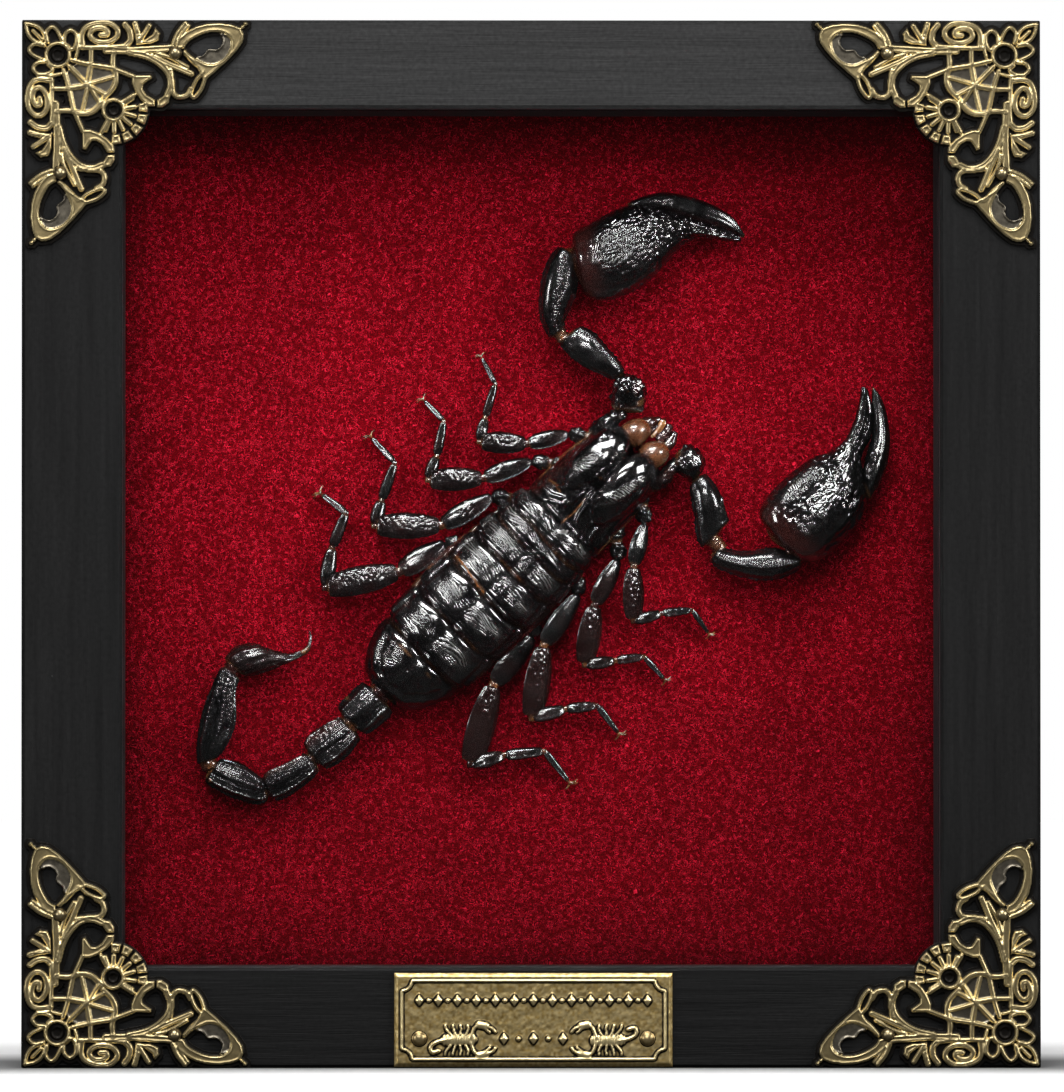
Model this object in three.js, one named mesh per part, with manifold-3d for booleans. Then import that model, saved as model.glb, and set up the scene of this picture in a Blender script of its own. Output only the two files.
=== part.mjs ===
// Framed scorpion specimen: a shallow black wooden box frame with pierced brass corners and a brass
// plate, and in it, behind glass, a large black scorpion spread on red velvet.
//
// Millimetres, +Z up. The frame stands upright on its bottom rail and faces -Y. The origin is on the
// floor, under the middle of the bottom rail.

import * as THREE from 'three';
import { mergeVertices } from 'three/addons/utils/BufferGeometryUtils.js';
import Module from 'manifold-3d';

const wasm = await Module();
wasm.setup();

// Frame
const FRAME_WIDTH = 152;
const FRAME_HEIGHT = 156.3;
const FRAME_DEPTH = 35;
const SIDE_RAIL = 15; // face width of the side and bottom rails
const TOP_RAIL = 13.2;
const LIP = 4; // thickness of the front lip that holds the glass
const REBATE = 6; // width of the step behind the lip
const ARRIS = 0.5; // small bevel on the front edges
const GAP = 0.3; // between pieces that touch

// Layers in the rebate, from the front
const GLASS = 2;
const SPACER_DEPTH = 15.1;
const VELVET = 1.2;
const MOUNT_BOARD = 3;
const BACK_BOARD = 3;

// Hanger
const HANGER_WIDTH = 40;
const HANGER_HEIGHT = 8;
const HANGER_THICKNESS = 0.8;
const HANGER_DROP = 12; // from the top of the back board to the hanger
const HANGER_TEETH = 12;
const SCREW_RADIUS = 2;
const SCREW_HEAD = 1.2;
const HEAD_SIDES = 8; // of every screw, nail and rivet head

// Brass corners and plate
const ORNAMENT_THICKNESS = 1.4;
const NAIL_RADIUS = 1.05;
const NAIL_HEAD = 0.9;
const PLATE_WIDTH = 41.5;
const PLATE_HEIGHT = 14;
const PLATE_RISE = 0.2; // of its lower edge above the floor
const PLATE_SHIFT = 0.3; // of its middle to the right
const PLATE_THICKNESS = 0.9;
const RELIEF = 0.45; // how far the raised lines stand out of the plate
const RIVET_RADIUS = 1.1;
const RIVET_HEAD = 0.8;
const RIVET_SPACING = 34;
const RIVET_LEVEL = 4.4; // above the floor

// Specimen: where the rear of its abdomen lies, and which way it heads
const SPECIMEN_X = -22.3;
const SPECIMEN_Z = 54.9;
const HEADING = THREE.MathUtils.degToRad(43.55);

// Places worked out from the driving dimensions
const FRONT = -FRAME_DEPTH / 2;
const BACK = FRAME_DEPTH / 2;
const RIGHT = FRAME_WIDTH / 2;
const OPENING_RIGHT = RIGHT - SIDE_RAIL;
const OPENING_TOP = FRAME_HEIGHT - TOP_RAIL;
const OPENING_MIDDLE = (OPENING_TOP + SIDE_RAIL) / 2;
const SIGHT_WIDTH = 2 * OPENING_RIGHT;
const SIGHT_HEIGHT = OPENING_TOP - SIDE_RAIL;
const LAYER_WIDTH = SIGHT_WIDTH + 2 * (REBATE - GAP);
const LAYER_HEIGHT = SIGHT_HEIGHT + 2 * (REBATE - GAP);
const GLASS_FRONT = FRONT + LIP + GAP;
const SPACER_FRONT = GLASS_FRONT + GLASS + GAP;
const VELVET_FRONT = SPACER_FRONT + SPACER_DEPTH + GAP;
const MOUNT_FRONT = VELVET_FRONT + VELVET + GAP;
const BACK_BOARD_FRONT = MOUNT_FRONT + MOUNT_BOARD + GAP;
const HANGER_FRONT = BACK_BOARD_FRONT + BACK_BOARD + GAP;

const BLACK_WOOD = { color: 0x1c1c1e, roughness: 0.55, metalness: 0 };
const CLEAR_GLASS = { color: 0xdfe8e8, roughness: 0.05, metalness: 0, transparent: true, opacity: 0.15 };
const RED_VELVET = { color: 0x8a0c1e, roughness: 0.95, metalness: 0 };
const GREY_CARD = { color: 0x5a5048, roughness: 0.9, metalness: 0 };
const BROWN_BOARD = { color: 0x6d4c30, roughness: 0.85, metalness: 0 };
const ZINC = { color: 0xa8a8a2, roughness: 0.4, metalness: 0.9 };
const OLD_BRASS = { color: 0xb09a5c, roughness: 0.38, metalness: 0.85 };
const SHELL = { color: 0x141416, roughness: 0.25, metalness: 0 };
const COPPER_SHELL = { color: 0x6b3214, roughness: 0.3, metalness: 0 };

const root = new THREE.Group();

function addMesh(parent, name, geometry, finish) {
  const mesh = new THREE.Mesh(geometry, new THREE.MeshStandardMaterial(finish));
  mesh.name = name;
  parent.add(mesh);
  return mesh;
}

// Closed solids

// A surface through rings of points, closed at both ends by fans. All rings have the same number of
// points. Its faces are turned to point out.
function loft(rings) {
  const count = rings[0].length;
  const positions = [];
  const index = [];
  rings.forEach((ring) => ring.forEach((point) => positions.push(point.x, point.y, point.z)));
  for (let r = 0; r + 1 < rings.length; r += 1) {
    for (let k = 0; k < count; k += 1) {
      const a = r * count + k;
      const b = r * count + ((k + 1) % count);
      index.push(a, b, b + count, a, b + count, a + count);
    }
  }
  [0, rings.length - 1].forEach((r, end) => {
    const centre = new THREE.Vector3();
    rings[r].forEach((point) => centre.addScaledVector(point, 1 / count));
    const middle = positions.length / 3;
    positions.push(centre.x, centre.y, centre.z);
    for (let k = 0; k < count; k += 1) {
      const a = r * count + k;
      const b = r * count + ((k + 1) % count);
      index.push(...(end === 0 ? [b, a, middle] : [a, b, middle]));
    }
  });
  const geometry = new THREE.BufferGeometry();
  geometry.setAttribute('position', new THREE.Float32BufferAttribute(positions, 3));
  geometry.setIndex(index);
  return volumeOf(geometry) < 0 ? turnedInsideOut(geometry) : geometry;
}

function volumeOf(geometry) {
  const position = geometry.attributes.position;
  const corners = [new THREE.Vector3(), new THREE.Vector3(), new THREE.Vector3()];
  let total = 0;
  for (let i = 0; i < geometry.index.count; i += 3) {
    corners.forEach((corner, k) => corner.fromBufferAttribute(position, geometry.index.getX(i + k)));
    total += corners[0].dot(corners[1].cross(corners[2])) / 6;
  }
  return total;
}

function turnedInsideOut(geometry) {
  const order = Array.from(geometry.index.array);
  for (let i = 0; i < order.length; i += 3) {
    [order[i], order[i + 1]] = [order[i + 1], order[i]];
  }
  geometry.setIndex(order);
  return geometry;
}

// The same surface with its shared corners merged
function welded(geometry) {
  const bare = geometry.clone();
  bare.deleteAttribute('normal');
  bare.deleteAttribute('uv');
  return mergeVertices(bare, 1e-4);
}

function solidOf(geometry) {
  const merged = welded(geometry);
  const vertProperties = Float32Array.from(merged.attributes.position.array);
  const triVerts = Uint32Array.from(merged.index.array);
  return new wasm.Manifold(new wasm.Mesh({ numProp: 3, vertProperties, triVerts }));
}

function joined(geometries) {
  const whole = geometries.map(solidOf).reduce((sum, next) => sum.add(next));
  const mesh = whole.getMesh();
  const geometry = new THREE.BufferGeometry();
  geometry.setAttribute('position', new THREE.Float32BufferAttribute(mesh.vertProperties, 3));
  geometry.setIndex(Array.from(mesh.triVerts));
  return geometry;
}

// A flat outline in the plane of the face, made solid from the depth y0 back to y1
function slab(shape, y0, y1) {
  const options = { depth: y1 - y0, bevelEnabled: false };
  return new THREE.ExtrudeGeometry(shape, options).rotateX(Math.PI / 2).translate(0, y1, 0);
}

// An outline with holes, which have to run the other way round
function pierced(outer, holes) {
  const { isClockWise } = THREE.ShapeUtils;
  const shape = new THREE.Shape(outer);
  holes.forEach((hole) => {
    const turned = isClockWise(outer) === isClockWise(hole) ? [...hole].reverse() : hole;
    shape.holes.push(new THREE.Path(turned));
  });
  return shape;
}

// The outline of a stroke of one width along a line
function ribbon(line, width) {
  const centre = line.map(([x, z]) => new THREE.Vector2(x, z));
  const sides = [[], []];
  centre.forEach((point, k) => {
    const before = centre[Math.max(k - 1, 0)];
    const after = centre[Math.min(k + 1, centre.length - 1)];
    const along = after.clone().sub(before).normalize();
    const across = new THREE.Vector2(-along.y, along.x).multiplyScalar(width / 2);
    sides[0].push(point.clone().add(across));
    sides[1].unshift(point.clone().sub(across));
  });
  return new THREE.Shape([...sides[0], ...sides[1]]);
}

function box(width, depth, height, x, y, z) {
  return new THREE.BoxGeometry(width, depth, height).translate(x, y, z);
}

// A round head standing on the origin, domed towards -Y, or towards +Y where it is turned
function dome(radius, height, turned = false) {
  const profile = [
    new THREE.Vector2(0, 0),
    new THREE.Vector2(radius, 0),
    new THREE.Vector2(radius * 0.75, height * 0.7),
    new THREE.Vector2(0, height),
  ];
  return new THREE.LatheGeometry(profile, HEAD_SIDES).rotateX(turned ? 0 : Math.PI);
}

// Frame rails

// Corner lines of the mitres, from the outer to the inner corner
const outerCorner = {
  topLeft: [-RIGHT, FRAME_HEIGHT],
  topRight: [RIGHT, FRAME_HEIGHT],
  bottomLeft: [-RIGHT, 0],
  bottomRight: [RIGHT, 0],
};
const innerCorner = {
  topLeft: [-OPENING_RIGHT, OPENING_TOP],
  topRight: [OPENING_RIGHT, OPENING_TOP],
  bottomLeft: [-OPENING_RIGHT, SIDE_RAIL],
  bottomRight: [OPENING_RIGHT, SIDE_RAIL],
};

function rail(from, to, width) {
  const profile = [
    [0, BACK],
    [0, FRONT + ARRIS],
    [ARRIS, FRONT],
    [width - ARRIS, FRONT],
    [width, FRONT + ARRIS],
    [width, FRONT + LIP],
    [width - REBATE, FRONT + LIP],
    [width - REBATE, BACK],
  ];
  const outline = profile.map(([inward, y]) => new THREE.Vector2(inward, y));
  const along = new THREE.Vector2(...outerCorner[to]).sub(new THREE.Vector2(...outerCorner[from]));
  along.normalize();
  const ends = [[from, GAP / 2], [to, -GAP / 2]].map(([corner, shift]) =>
    profile.map(([inward, y]) => {
      const f = inward / width;
      const x = THREE.MathUtils.lerp(outerCorner[corner][0], innerCorner[corner][0], f);
      const z = THREE.MathUtils.lerp(outerCorner[corner][1], innerCorner[corner][1], f);
      return [x + along.x * shift, y, z + along.y * shift];
    }));
  const count = profile.length;
  const index = [];
  THREE.ShapeUtils.triangulateShape(outline, []).forEach(([a, b, c]) => {
    index.push(a, b, c, c + count, b + count, a + count);
  });
  const ringWinding = THREE.ShapeUtils.isClockWise(outline) ? 1 : -1;
  for (let k = 0; k < count; k += 1) {
    const next = (k + 1) % count;
    const [a, b] = ringWinding > 0 ? [k, next] : [next, k];
    index.push(a, b, b + count, a, b + count, a + count);
  }
  const geometry = new THREE.BufferGeometry();
  geometry.setAttribute('position', new THREE.Float32BufferAttribute(ends.flat(2), 3));
  geometry.setIndex(index);
  return volumeOf(geometry) < 0 ? turnedInsideOut(geometry) : geometry;
}

function buildFrame() {
  const frame = new THREE.Group();
  addMesh(frame, 'rail_top', rail('topLeft', 'topRight', TOP_RAIL), BLACK_WOOD);
  addMesh(frame, 'rail_bottom', rail('bottomLeft', 'bottomRight', SIDE_RAIL), BLACK_WOOD);
  addMesh(frame, 'rail_left', rail('bottomLeft', 'topLeft', SIDE_RAIL), BLACK_WOOD);
  addMesh(frame, 'rail_right', rail('bottomRight', 'topRight', SIDE_RAIL), BLACK_WOOD);
  return frame;
}

// Glass, lining, velvet and boards

function buildLayers() {
  const layers = new THREE.Group();
  const sheets = [
    ['glass_pane', GLASS_FRONT, GLASS, CLEAR_GLASS],
    ['velvet_sheet', VELVET_FRONT, VELVET, RED_VELVET],
    ['mount_board', MOUNT_FRONT, MOUNT_BOARD, GREY_CARD],
    ['back_board', BACK_BOARD_FRONT, BACK_BOARD, BROWN_BOARD],
  ];
  sheets.forEach(([name, front, thickness, finish]) => {
    const sheet = box(LAYER_WIDTH, thickness, LAYER_HEIGHT, 0, front + thickness / 2, OPENING_MIDDLE);
    addMesh(layers, name, sheet, finish);
  });
  const strip = REBATE - GAP;
  const y = SPACER_FRONT + SPACER_DEPTH / 2;
  const sideHeight = SIGHT_HEIGHT - 2 * GAP;
  const across = (z) => box(LAYER_WIDTH, SPACER_DEPTH, strip, 0, y, z);
  const upright = (x) => box(strip, SPACER_DEPTH, sideHeight, x, y, OPENING_MIDDLE);
  addMesh(layers, 'spacer_top', across(OPENING_TOP + strip / 2), BLACK_WOOD);
  addMesh(layers, 'spacer_bottom', across(SIDE_RAIL - strip / 2), BLACK_WOOD);
  addMesh(layers, 'spacer_left', upright(-OPENING_RIGHT - strip / 2), BLACK_WOOD);
  addMesh(layers, 'spacer_right', upright(OPENING_RIGHT + strip / 2), BLACK_WOOD);
  return layers;
}

// Sawtooth hanger on the back board

function buildHanger() {
  const hanger = new THREE.Group();
  hanger.position.set(0, HANGER_FRONT, OPENING_TOP + REBATE - HANGER_DROP);
  const half = HANGER_WIDTH / 2;
  const toothed = half - 2 * SCREW_RADIUS - 2;
  const outline = new THREE.Shape();
  outline.moveTo(-half, HANGER_HEIGHT / 4);
  outline.lineTo(-toothed, 0);
  for (let tooth = 0; tooth < HANGER_TEETH; tooth += 1) {
    const left = -toothed + (tooth * 2 * toothed) / HANGER_TEETH;
    outline.lineTo(left + toothed / HANGER_TEETH, HANGER_HEIGHT / 6);
    outline.lineTo(left + (2 * toothed) / HANGER_TEETH, 0);
  }
  outline.lineTo(half, HANGER_HEIGHT / 4);
  outline.lineTo(half, HANGER_HEIGHT * 0.75);
  outline.lineTo(toothed, HANGER_HEIGHT);
  outline.lineTo(-toothed, HANGER_HEIGHT);
  outline.lineTo(-half, HANGER_HEIGHT * 0.75);
  outline.closePath();
  addMesh(hanger, 'hanger_plate', slab(outline, 0, HANGER_THICKNESS), ZINC);
  [['hanger_screw_left', -1], ['hanger_screw_right', 1]].forEach(([name, side]) => {
    const screw = addMesh(hanger, name, dome(SCREW_RADIUS, SCREW_HEAD, true), ZINC);
    screw.position.set(side * (half - SCREW_RADIUS - 1), HANGER_THICKNESS + GAP, HANGER_HEIGHT / 2);
  });
  return hanger;
}

// Pierced brass corners. Everything is drawn for the top left one, in millimetres from the outer corner
// of the frame: u along the top rail and v down the side rail. The side arm is the top arm drawn again
// on the other side of the diagonal, leaning a little away from the edge.

const SPLAY = 0.057; // how far the side arm leans for each millimetre down
const SPLAY_FROM = 5;
const SPLAY_TO = 19;
const CORNER_RING = { at: [5.3, 5.2], radius: 1.35 };
const INNER_RING = { at: [13.7, 13.5], radius: 1.25 };
const NAIL_AT = [22.9, 5];

// The outer edge of one arm, from the tip of the corner leaf round the end of the arm to the fan
const armEdge = [
  // corner leaf and petals
  [0.6, 0.6], [3.2, 1.5], [4, 1.3], [5.3, 0.8], [6.5, 1.8], [7.2, 1.3], [8.6, 1.9],
  // scroll and shell
  [9.4, 0.9], [12.2, 0.1], [14.6, 1], [15.2, 0.6], [17.6, 0.3], [20.4, 1.1], [20.8, 2.6], [20, 3.8],
  // nail, bud and loop
  [22.2, 3.9], [22.9, 1.9], [24.2, 0.4], [25.1, 1], [24.5, 2.3], [27.6, 0.8], [31.6, 0.7], [33.6, 0.2],
  [33.9, 0.9], [33.2, 3.6], [31, 6.7], [28, 9.3],
  // folded leaf, small loop and hook
  [26.2, 11.9], [25.3, 11.2], [23, 11.5], [21.3, 12.8],
];
const armHoles = [
  // scroll
  [[9.9, 2.6], [10.3, 1.5], [12.2, 1], [13.8, 1.7], [13.5, 2.6], [11.6, 2.9]],
  // lattice
  [[8.2, 4.9], [10, 5.1], [10, 6.3], [8.1, 5.8]],
  [[10.8, 5.2], [13.1, 5.2], [13.1, 7.1], [10.8, 6.5]],
  // inside the hook
  [
    [14, 5.3], [18.2, 5.8], [20.7, 7.6], [21.8, 9.8], [20.8, 11.6], [19.3, 11.7], [18, 10.2], [18, 9.1],
    [19.8, 9], [19.8, 8.2], [17.2, 8.2], [14, 7.3],
  ],
  // between the lattice, the inner ring and the hook
  [[14.3, 8.2], [16.8, 9], [16.9, 10.6], [17.7, 11.9], [15.5, 12.2], [14.2, 11.4]],
  // small loop
  [[22.9, 8.4], [26, 8.9], [25.3, 10.5], [23.6, 10.7]],
  // loop, with the wavy leaf on its far side
  [[25.4, 5], [25.7, 3.3], [28.2, 2.1], [29.8, 2.2], [29.5, 3.8], [28.2, 4.5], [27, 6.1]],
];
// The fan round the inner ring: its tiles run across the diagonal
const FAN = { radius: 5.4, notch: 4.5, from: -13, to: 103, tiles: 5 };

// The same line on the side arm
const swapped = (line) => line.map(([u, v]) => {
  const lean = THREE.MathUtils.clamp(u, SPLAY_FROM, SPLAY_TO) - SPLAY_FROM;
  return [v + SPLAY * lean, u];
});

function around([u, v], radius, degrees) {
  const angle = THREE.MathUtils.degToRad(degrees);
  return [u + radius * Math.cos(angle), v + radius * Math.sin(angle)];
}

function fanRim() {
  const step = (FAN.to - FAN.from) / FAN.tiles;
  return Array.from({ length: FAN.tiles }, (_, tile) => {
    const start = FAN.from + tile * step;
    const corners = [[0.12, FAN.radius], [0.88, FAN.radius]];
    if (tile + 1 < FAN.tiles) corners.push([1, FAN.notch]);
    return corners.map(([f, radius]) => around(INNER_RING.at, radius, start + f * step));
  }).flat();
}

function ornamentGeometry() {
  const points = (line) => line.map(([u, v]) => new THREE.Vector2(u, v));
  const edge = points([...armEdge, ...fanRim(), ...swapped(armEdge).reverse().slice(0, -1)]);
  const circle = ({ at, radius }, sides = 10) =>
    Array.from({ length: sides }, (_, k) => around(at, radius, (360 * k) / sides));
  const holes = [...armHoles, ...armHoles.map(swapped), circle(CORNER_RING), circle(INNER_RING)];
  const back = FRONT - GAP;
  return welded(slab(pierced(edge, holes.map(points)), back - ORNAMENT_THICKNESS, back));
}

// The drawing has v down the page, so the left and right, top and bottom copies are mirrored from it.
function placed(geometry, side, level) {
  const position = geometry.attributes.position;
  const copy = geometry.clone();
  for (let i = 0; i < position.count; i += 1) {
    const x = side * (RIGHT - position.getX(i));
    const inset = position.getZ(i);
    const z = level > 0 ? FRAME_HEIGHT - inset : inset;
    copy.attributes.position.setXYZ(i, x, position.getY(i), z);
  }
  return volumeOf(copy) < 0 ? turnedInsideOut(copy) : copy;
}

function buildCorners() {
  const corners = new THREE.Group();
  const ornament = ornamentGeometry();
  const places = [['top_left', -1, 1], ['top_right', 1, 1], ['bottom_left', -1, -1], ['bottom_right', 1, -1]];
  places.forEach(([name, side, level]) => {
    addMesh(corners, `corner_${name}`, placed(ornament, side, level), OLD_BRASS);
    [['across', NAIL_AT], ['upright', swapped([NAIL_AT])[0]]].forEach(([arm, [u, v]]) => {
      const nail = dome(NAIL_RADIUS, NAIL_HEAD);
      const head = addMesh(corners, `nail_${name}_${arm}`, nail, OLD_BRASS);
      const z = level > 0 ? FRAME_HEIGHT - v : v;
      head.position.set(side * (RIGHT - u), FRONT - ORNAMENT_THICKNESS - 2 * GAP, z);
    });
  });
  return corners;
}

// Name plate with a raised border, two small relief scorpions and a plain ornament where names would be

const BORDER_INSET = 0.95;
const BORDER_WIDTH = 0.45;
const NOTCH = 1.55; // radius of the scooped corners of the border

function scoopedOutline(inset) {
  const w = PLATE_WIDTH / 2 - inset;
  const h = PLATE_HEIGHT / 2 - inset;
  const steps = 3;
  return [[1, 1], [-1, 1], [-1, -1], [1, -1]].flatMap(([sx, sz]) =>
    Array.from({ length: steps + 1 }, (_, k) => {
      const turn = (k / steps) * (Math.PI / 2);
      const quarter = sx * sz > 0 ? Math.PI / 2 - turn : turn;
      return new THREE.Vector2(sx * (w - NOTCH * Math.cos(quarter)), sz * (h - NOTCH * Math.sin(quarter)));
    }));
}

// Strokes of the left relief scorpion, in millimetres from its waist, head towards +x
const reliefScorpion = [
  { line: [[-2.4, 0.1], [-3.8, -0.3], [-4.8, -0.9], [-4.7, -1.6], [-3.8, -1.6]], width: 0.55 },
  { line: [[-2.9, 0], [0.2, 0.1], [1.5, 0.1]], width: 1.5 },
  { line: [[1, 0.4], [1.7, 1.9], [2.8, 2.3], [4, 1.6]], width: 0.65 },
  { line: [[1, -0.3], [1.7, -2], [2.8, -2.5], [4.1, -1.9]], width: 0.65 },
  { line: [[0.4, 0.6], [0.2, 1.7], [0.8, 1.9]], width: 0.35 },
  { line: [[-1.1, 0.6], [-1.3, 1.8], [-1.9, 2]], width: 0.35 },
  { line: [[0.4, -0.4], [0.2, -1.6], [0.8, -1.9]], width: 0.35 },
  { line: [[-1.1, -0.4], [-1.3, -1.7], [-1.9, -2]], width: 0.35 },
];
const RELIEF_SCORPION_AT = [10.4, 4]; // its waist, out from the middle and up from the lower edge

// Lozenge rules: centre x and z, half length, number of lozenges
const rules = [
  { x: 0, z: 9.9, half: 17, lozenges: 13 },
  { x: 0, z: 4.2, half: 4.4, lozenges: 3 },
];
const LOZENGE = { halfWidth: 0.75, halfHeight: 1.1 };

function lozenge(x, z, halfWidth, halfHeight) {
  return new THREE.Shape([[-1, 0], [0, -1], [1, 0], [0, 1]]
    .map(([i, j]) => new THREE.Vector2(x + i * halfWidth, z + j * halfHeight)));
}

function buildPlate() {
  const plate = new THREE.Group();
  const back = FRONT - GAP;
  const face = back - PLATE_THICKNESS;
  plate.position.set(PLATE_SHIFT, 0, PLATE_RISE + PLATE_HEIGHT / 2);
  const corner = 0.6;
  const w = PLATE_WIDTH / 2;
  const h = PLATE_HEIGHT / 2;
  const base = new THREE.Shape([
    [w, h - corner], [w - corner, h], [corner - w, h], [-w, h - corner],
    [-w, corner - h], [corner - w, -h], [w - corner, -h], [w, corner - h],
  ].map(([x, z]) => new THREE.Vector2(x, z)));
  const raised = (shape) => slab(shape, face - RELIEF, face + PLATE_THICKNESS / 2);
  const inner = scoopedOutline(BORDER_INSET + BORDER_WIDTH);
  const pieces = [slab(base, face, back), raised(pierced(scoopedOutline(BORDER_INSET), [inner]))];
  const [outward, level] = RELIEF_SCORPION_AT;
  [1, -1].forEach((turn) => {
    reliefScorpion.forEach(({ line, width }) => {
      const moved = line.map(([x, z]) => [turn * (x - outward), level + turn * z - h]);
      pieces.push(raised(ribbon(moved, width)));
    });
  });
  rules.forEach(({ x, z, half, lozenges }) => {
    for (let k = 0; k < lozenges; k += 1) {
      const at = x + ((2 * k) / (lozenges - 1) - 1) * half;
      pieces.push(raised(lozenge(at, z - h, LOZENGE.halfWidth, LOZENGE.halfHeight)));
    }
  });
  addMesh(plate, 'name_plate', joined(pieces), OLD_BRASS);
  [['plate_rivet_left', -1], ['plate_rivet_right', 1]].forEach(([name, side]) => {
    const rivet = addMesh(plate, name, dome(RIVET_RADIUS, RIVET_HEAD), OLD_BRASS);
    rivet.position.set(side * (RIVET_SPACING / 2), face - GAP, RIVET_LEVEL - PLATE_RISE - h);
  });
  return plate;
}

// Specimen. In its own group x runs forward from the rear of the abdomen, y to the animal's left, and z
// up from the velvet.

// A limb or a segment: stations are [x, y, z, half width, half height] along its centre line
function limb(stations, sides) {
  const centres = stations.map(([x, y, z]) => new THREE.Vector3(x, y, z));
  return loft(stations.map(([, , , halfWidth, halfHeight], k) => {
    const before = centres[Math.max(k - 1, 0)];
    const after = centres[Math.min(k + 1, centres.length - 1)];
    const along = new THREE.Vector3().subVectors(after, before).setZ(0).normalize();
    const across = new THREE.Vector3(-along.y, along.x, 0);
    return Array.from({ length: sides }, (_, i) => {
      const angle = (2 * Math.PI * (i + 0.5)) / sides;
      return centres[k].clone()
        .addScaledVector(across, halfWidth * Math.cos(angle))
        .add(new THREE.Vector3(0, 0, halfHeight * Math.sin(angle)));
    });
  }));
}

// A section of the trunk at x, between y = right and y = left: a flat belly and an arched back
function trunkSection(x, right, left, height, points = 10, forward = () => 0, groove = () => 0) {
  const belly = 0.4;
  const ring = [];
  for (let k = 0; k <= points; k += 1) {
    const f = k / points;
    const angle = Math.PI * f;
    const y = (left + right) / 2 + ((left - right) / 2) * Math.cos(angle);
    const arch = Math.sin(angle) ** 0.75;
    const z = 0.24 * height + 0.76 * height * arch - groove(y);
    ring.push(new THREE.Vector3(x + forward(y), y, z));
  }
  const tuck = 0.16 * (left - right);
  ring.push(new THREE.Vector3(x, right + tuck, belly));
  ring.push(new THREE.Vector3(x, left - tuck, belly));
  return ring;
}

// Rear edges of the seven plates of the back: [x, right, left, height]
const tergites = [
  [34.5, -6.6, 8.3, 7.6],
  [32, -7, 8.6, 8],
  [28.1, -7.3, 8.7, 8.4],
  [22.4, -7.6, 8.9, 8.6],
  [16.6, -7.3, 8.8, 8.4],
  [8.9, -6.3, 8.6, 7.8],
  [1.4, -1.9, 3.6, 5.2],
];
const ABDOMEN_FRONT = 37.4;
const PLATE_STEP = 0.35; // how far each plate stands over the one behind it

function buildAbdomen() {
  const rings = [trunkSection(ABDOMEN_FRONT, -6.1, 8, 7)];
  tergites.forEach(([x, right, left, height], k) => {
    rings.push(trunkSection(x, right, left, height));
    const next = tergites[k + 1];
    if (next) {
      rings.push(trunkSection(x - 0.25, right + PLATE_STEP, left - PLATE_STEP, height - PLATE_STEP));
    }
  });
  rings.splice(rings.length - 1, 0, trunkSection(5.2, -5.2, 6.9, 6.9));
  return loft(rings);
}

// The front shield: two lobes with a groove between them and a notch at the front
const GROOVE_LINE = 1.2; // y of the groove

function buildCarapace() {
  const sections = [
    [38.1, -6.6, 7.9, 7.3, 0.5],
    [40.2, -6.6, 8.2, 7.6, 0.9],
    [43.5, -6.3, 8.2, 8.2, 1],
    [47.5, -6.1, 8.1, 8.6, 0.7],
    [50.8, -5.7, 7.3, 8.2, 1],
    [52.6, -4.9, 6.3, 7.2, 1.3],
    [53.6, -3.8, 5.6, 5.6, 1.2],
  ];
  return loft(sections.map(([x, right, left, height, depth]) => {
    const groove = (y) => depth * Math.exp(-(((y - GROOVE_LINE) / 0.9) ** 2));
    const reach = THREE.MathUtils.smoothstep(x, 47, 53.6);
    const forward = (y) => {
      const lobe = Math.abs(y - GROOVE_LINE);
      return reach * (1 - 2.4 * Math.exp(-((lobe / 1.1) ** 2)));
    };
    return trunkSection(x, right, left, height, 14, forward, groove);
  }));
}

const tailSegments = [
  [[0.6, 1.1, 2.9, 2.7, 2.3], [-1.2, 1, 3.1, 3.2, 2.6], [-4.2, 0.9, 3.1, 3, 2.6], [-5.9, 0.8, 3, 2.5, 2.3]],
  [[-6.4, 1.1, 2.9, 2, 2.1], [-8.4, 0.9, 3, 2.9, 2.5], [-11, 0.8, 3, 3, 2.5], [-12.9, 0.8, 2.8, 2.3, 2.2]],
  [
    [-13.5, 0.8, 2.6, 1.6, 1.9], [-15.4, 1.1, 2.8, 2.4, 2.3], [-18.8, 1.8, 2.8, 2.5, 2.3],
    [-20.9, 2.2, 2.6, 1.8, 1.9],
  ],
  [
    [-22.3, 3.5, 2.5, 1.3, 1.7], [-23.3, 5.4, 2.6, 2.3, 2.2], [-24.8, 7.9, 2.6, 2.4, 2.2],
    [-26.3, 10.1, 2.5, 1.4, 1.8],
  ],
  [
    [-25.5, 12.1, 2.4, 1.3, 1.7], [-22.6, 13.6, 2.6, 2.6, 2.2], [-19.4, 15.7, 2.6, 2.6, 2.2],
    [-15.8, 17.9, 2.5, 2, 2], [-13.7, 19.4, 2.3, 1.3, 1.7],
  ],
];
const telsonStations = [
  [-12.2, 19.5, 2.3, 1.1, 1.6], [-11, 18.9, 2.6, 2.4, 2.2], [-8.9, 17.7, 2.6, 2.4, 2.2],
  [-6.2, 15.2, 2.3, 1.2, 1.5], [-3.8, 13.6, 2, 0.5, 0.7], [-2, 13.5, 1.8, 0.4, 0.5],
  [-0.9, 14.3, 1.7, 0.3, 0.4], [-0.7, 15.5, 1.6, 0.12, 0.15],
];

const chelicerae = {
  chelicera_left: [
    [54.9, 3.6, 3.8, 1.9, 2.6], [56.6, 3.3, 3.9, 2, 2.4], [58.3, 2.6, 3.6, 1.4, 1.9],
    [60, 2, 3.2, 0.5, 0.9],
  ],
  chelicera_right: [
    [54.9, -1, 3.8, 1.9, 2.6], [56.8, -1, 3.9, 1.9, 2.4], [59, -0.7, 3.6, 1.6, 1.9],
    [61, -0.4, 3.2, 0.7, 0.9],
  ],
};

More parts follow.
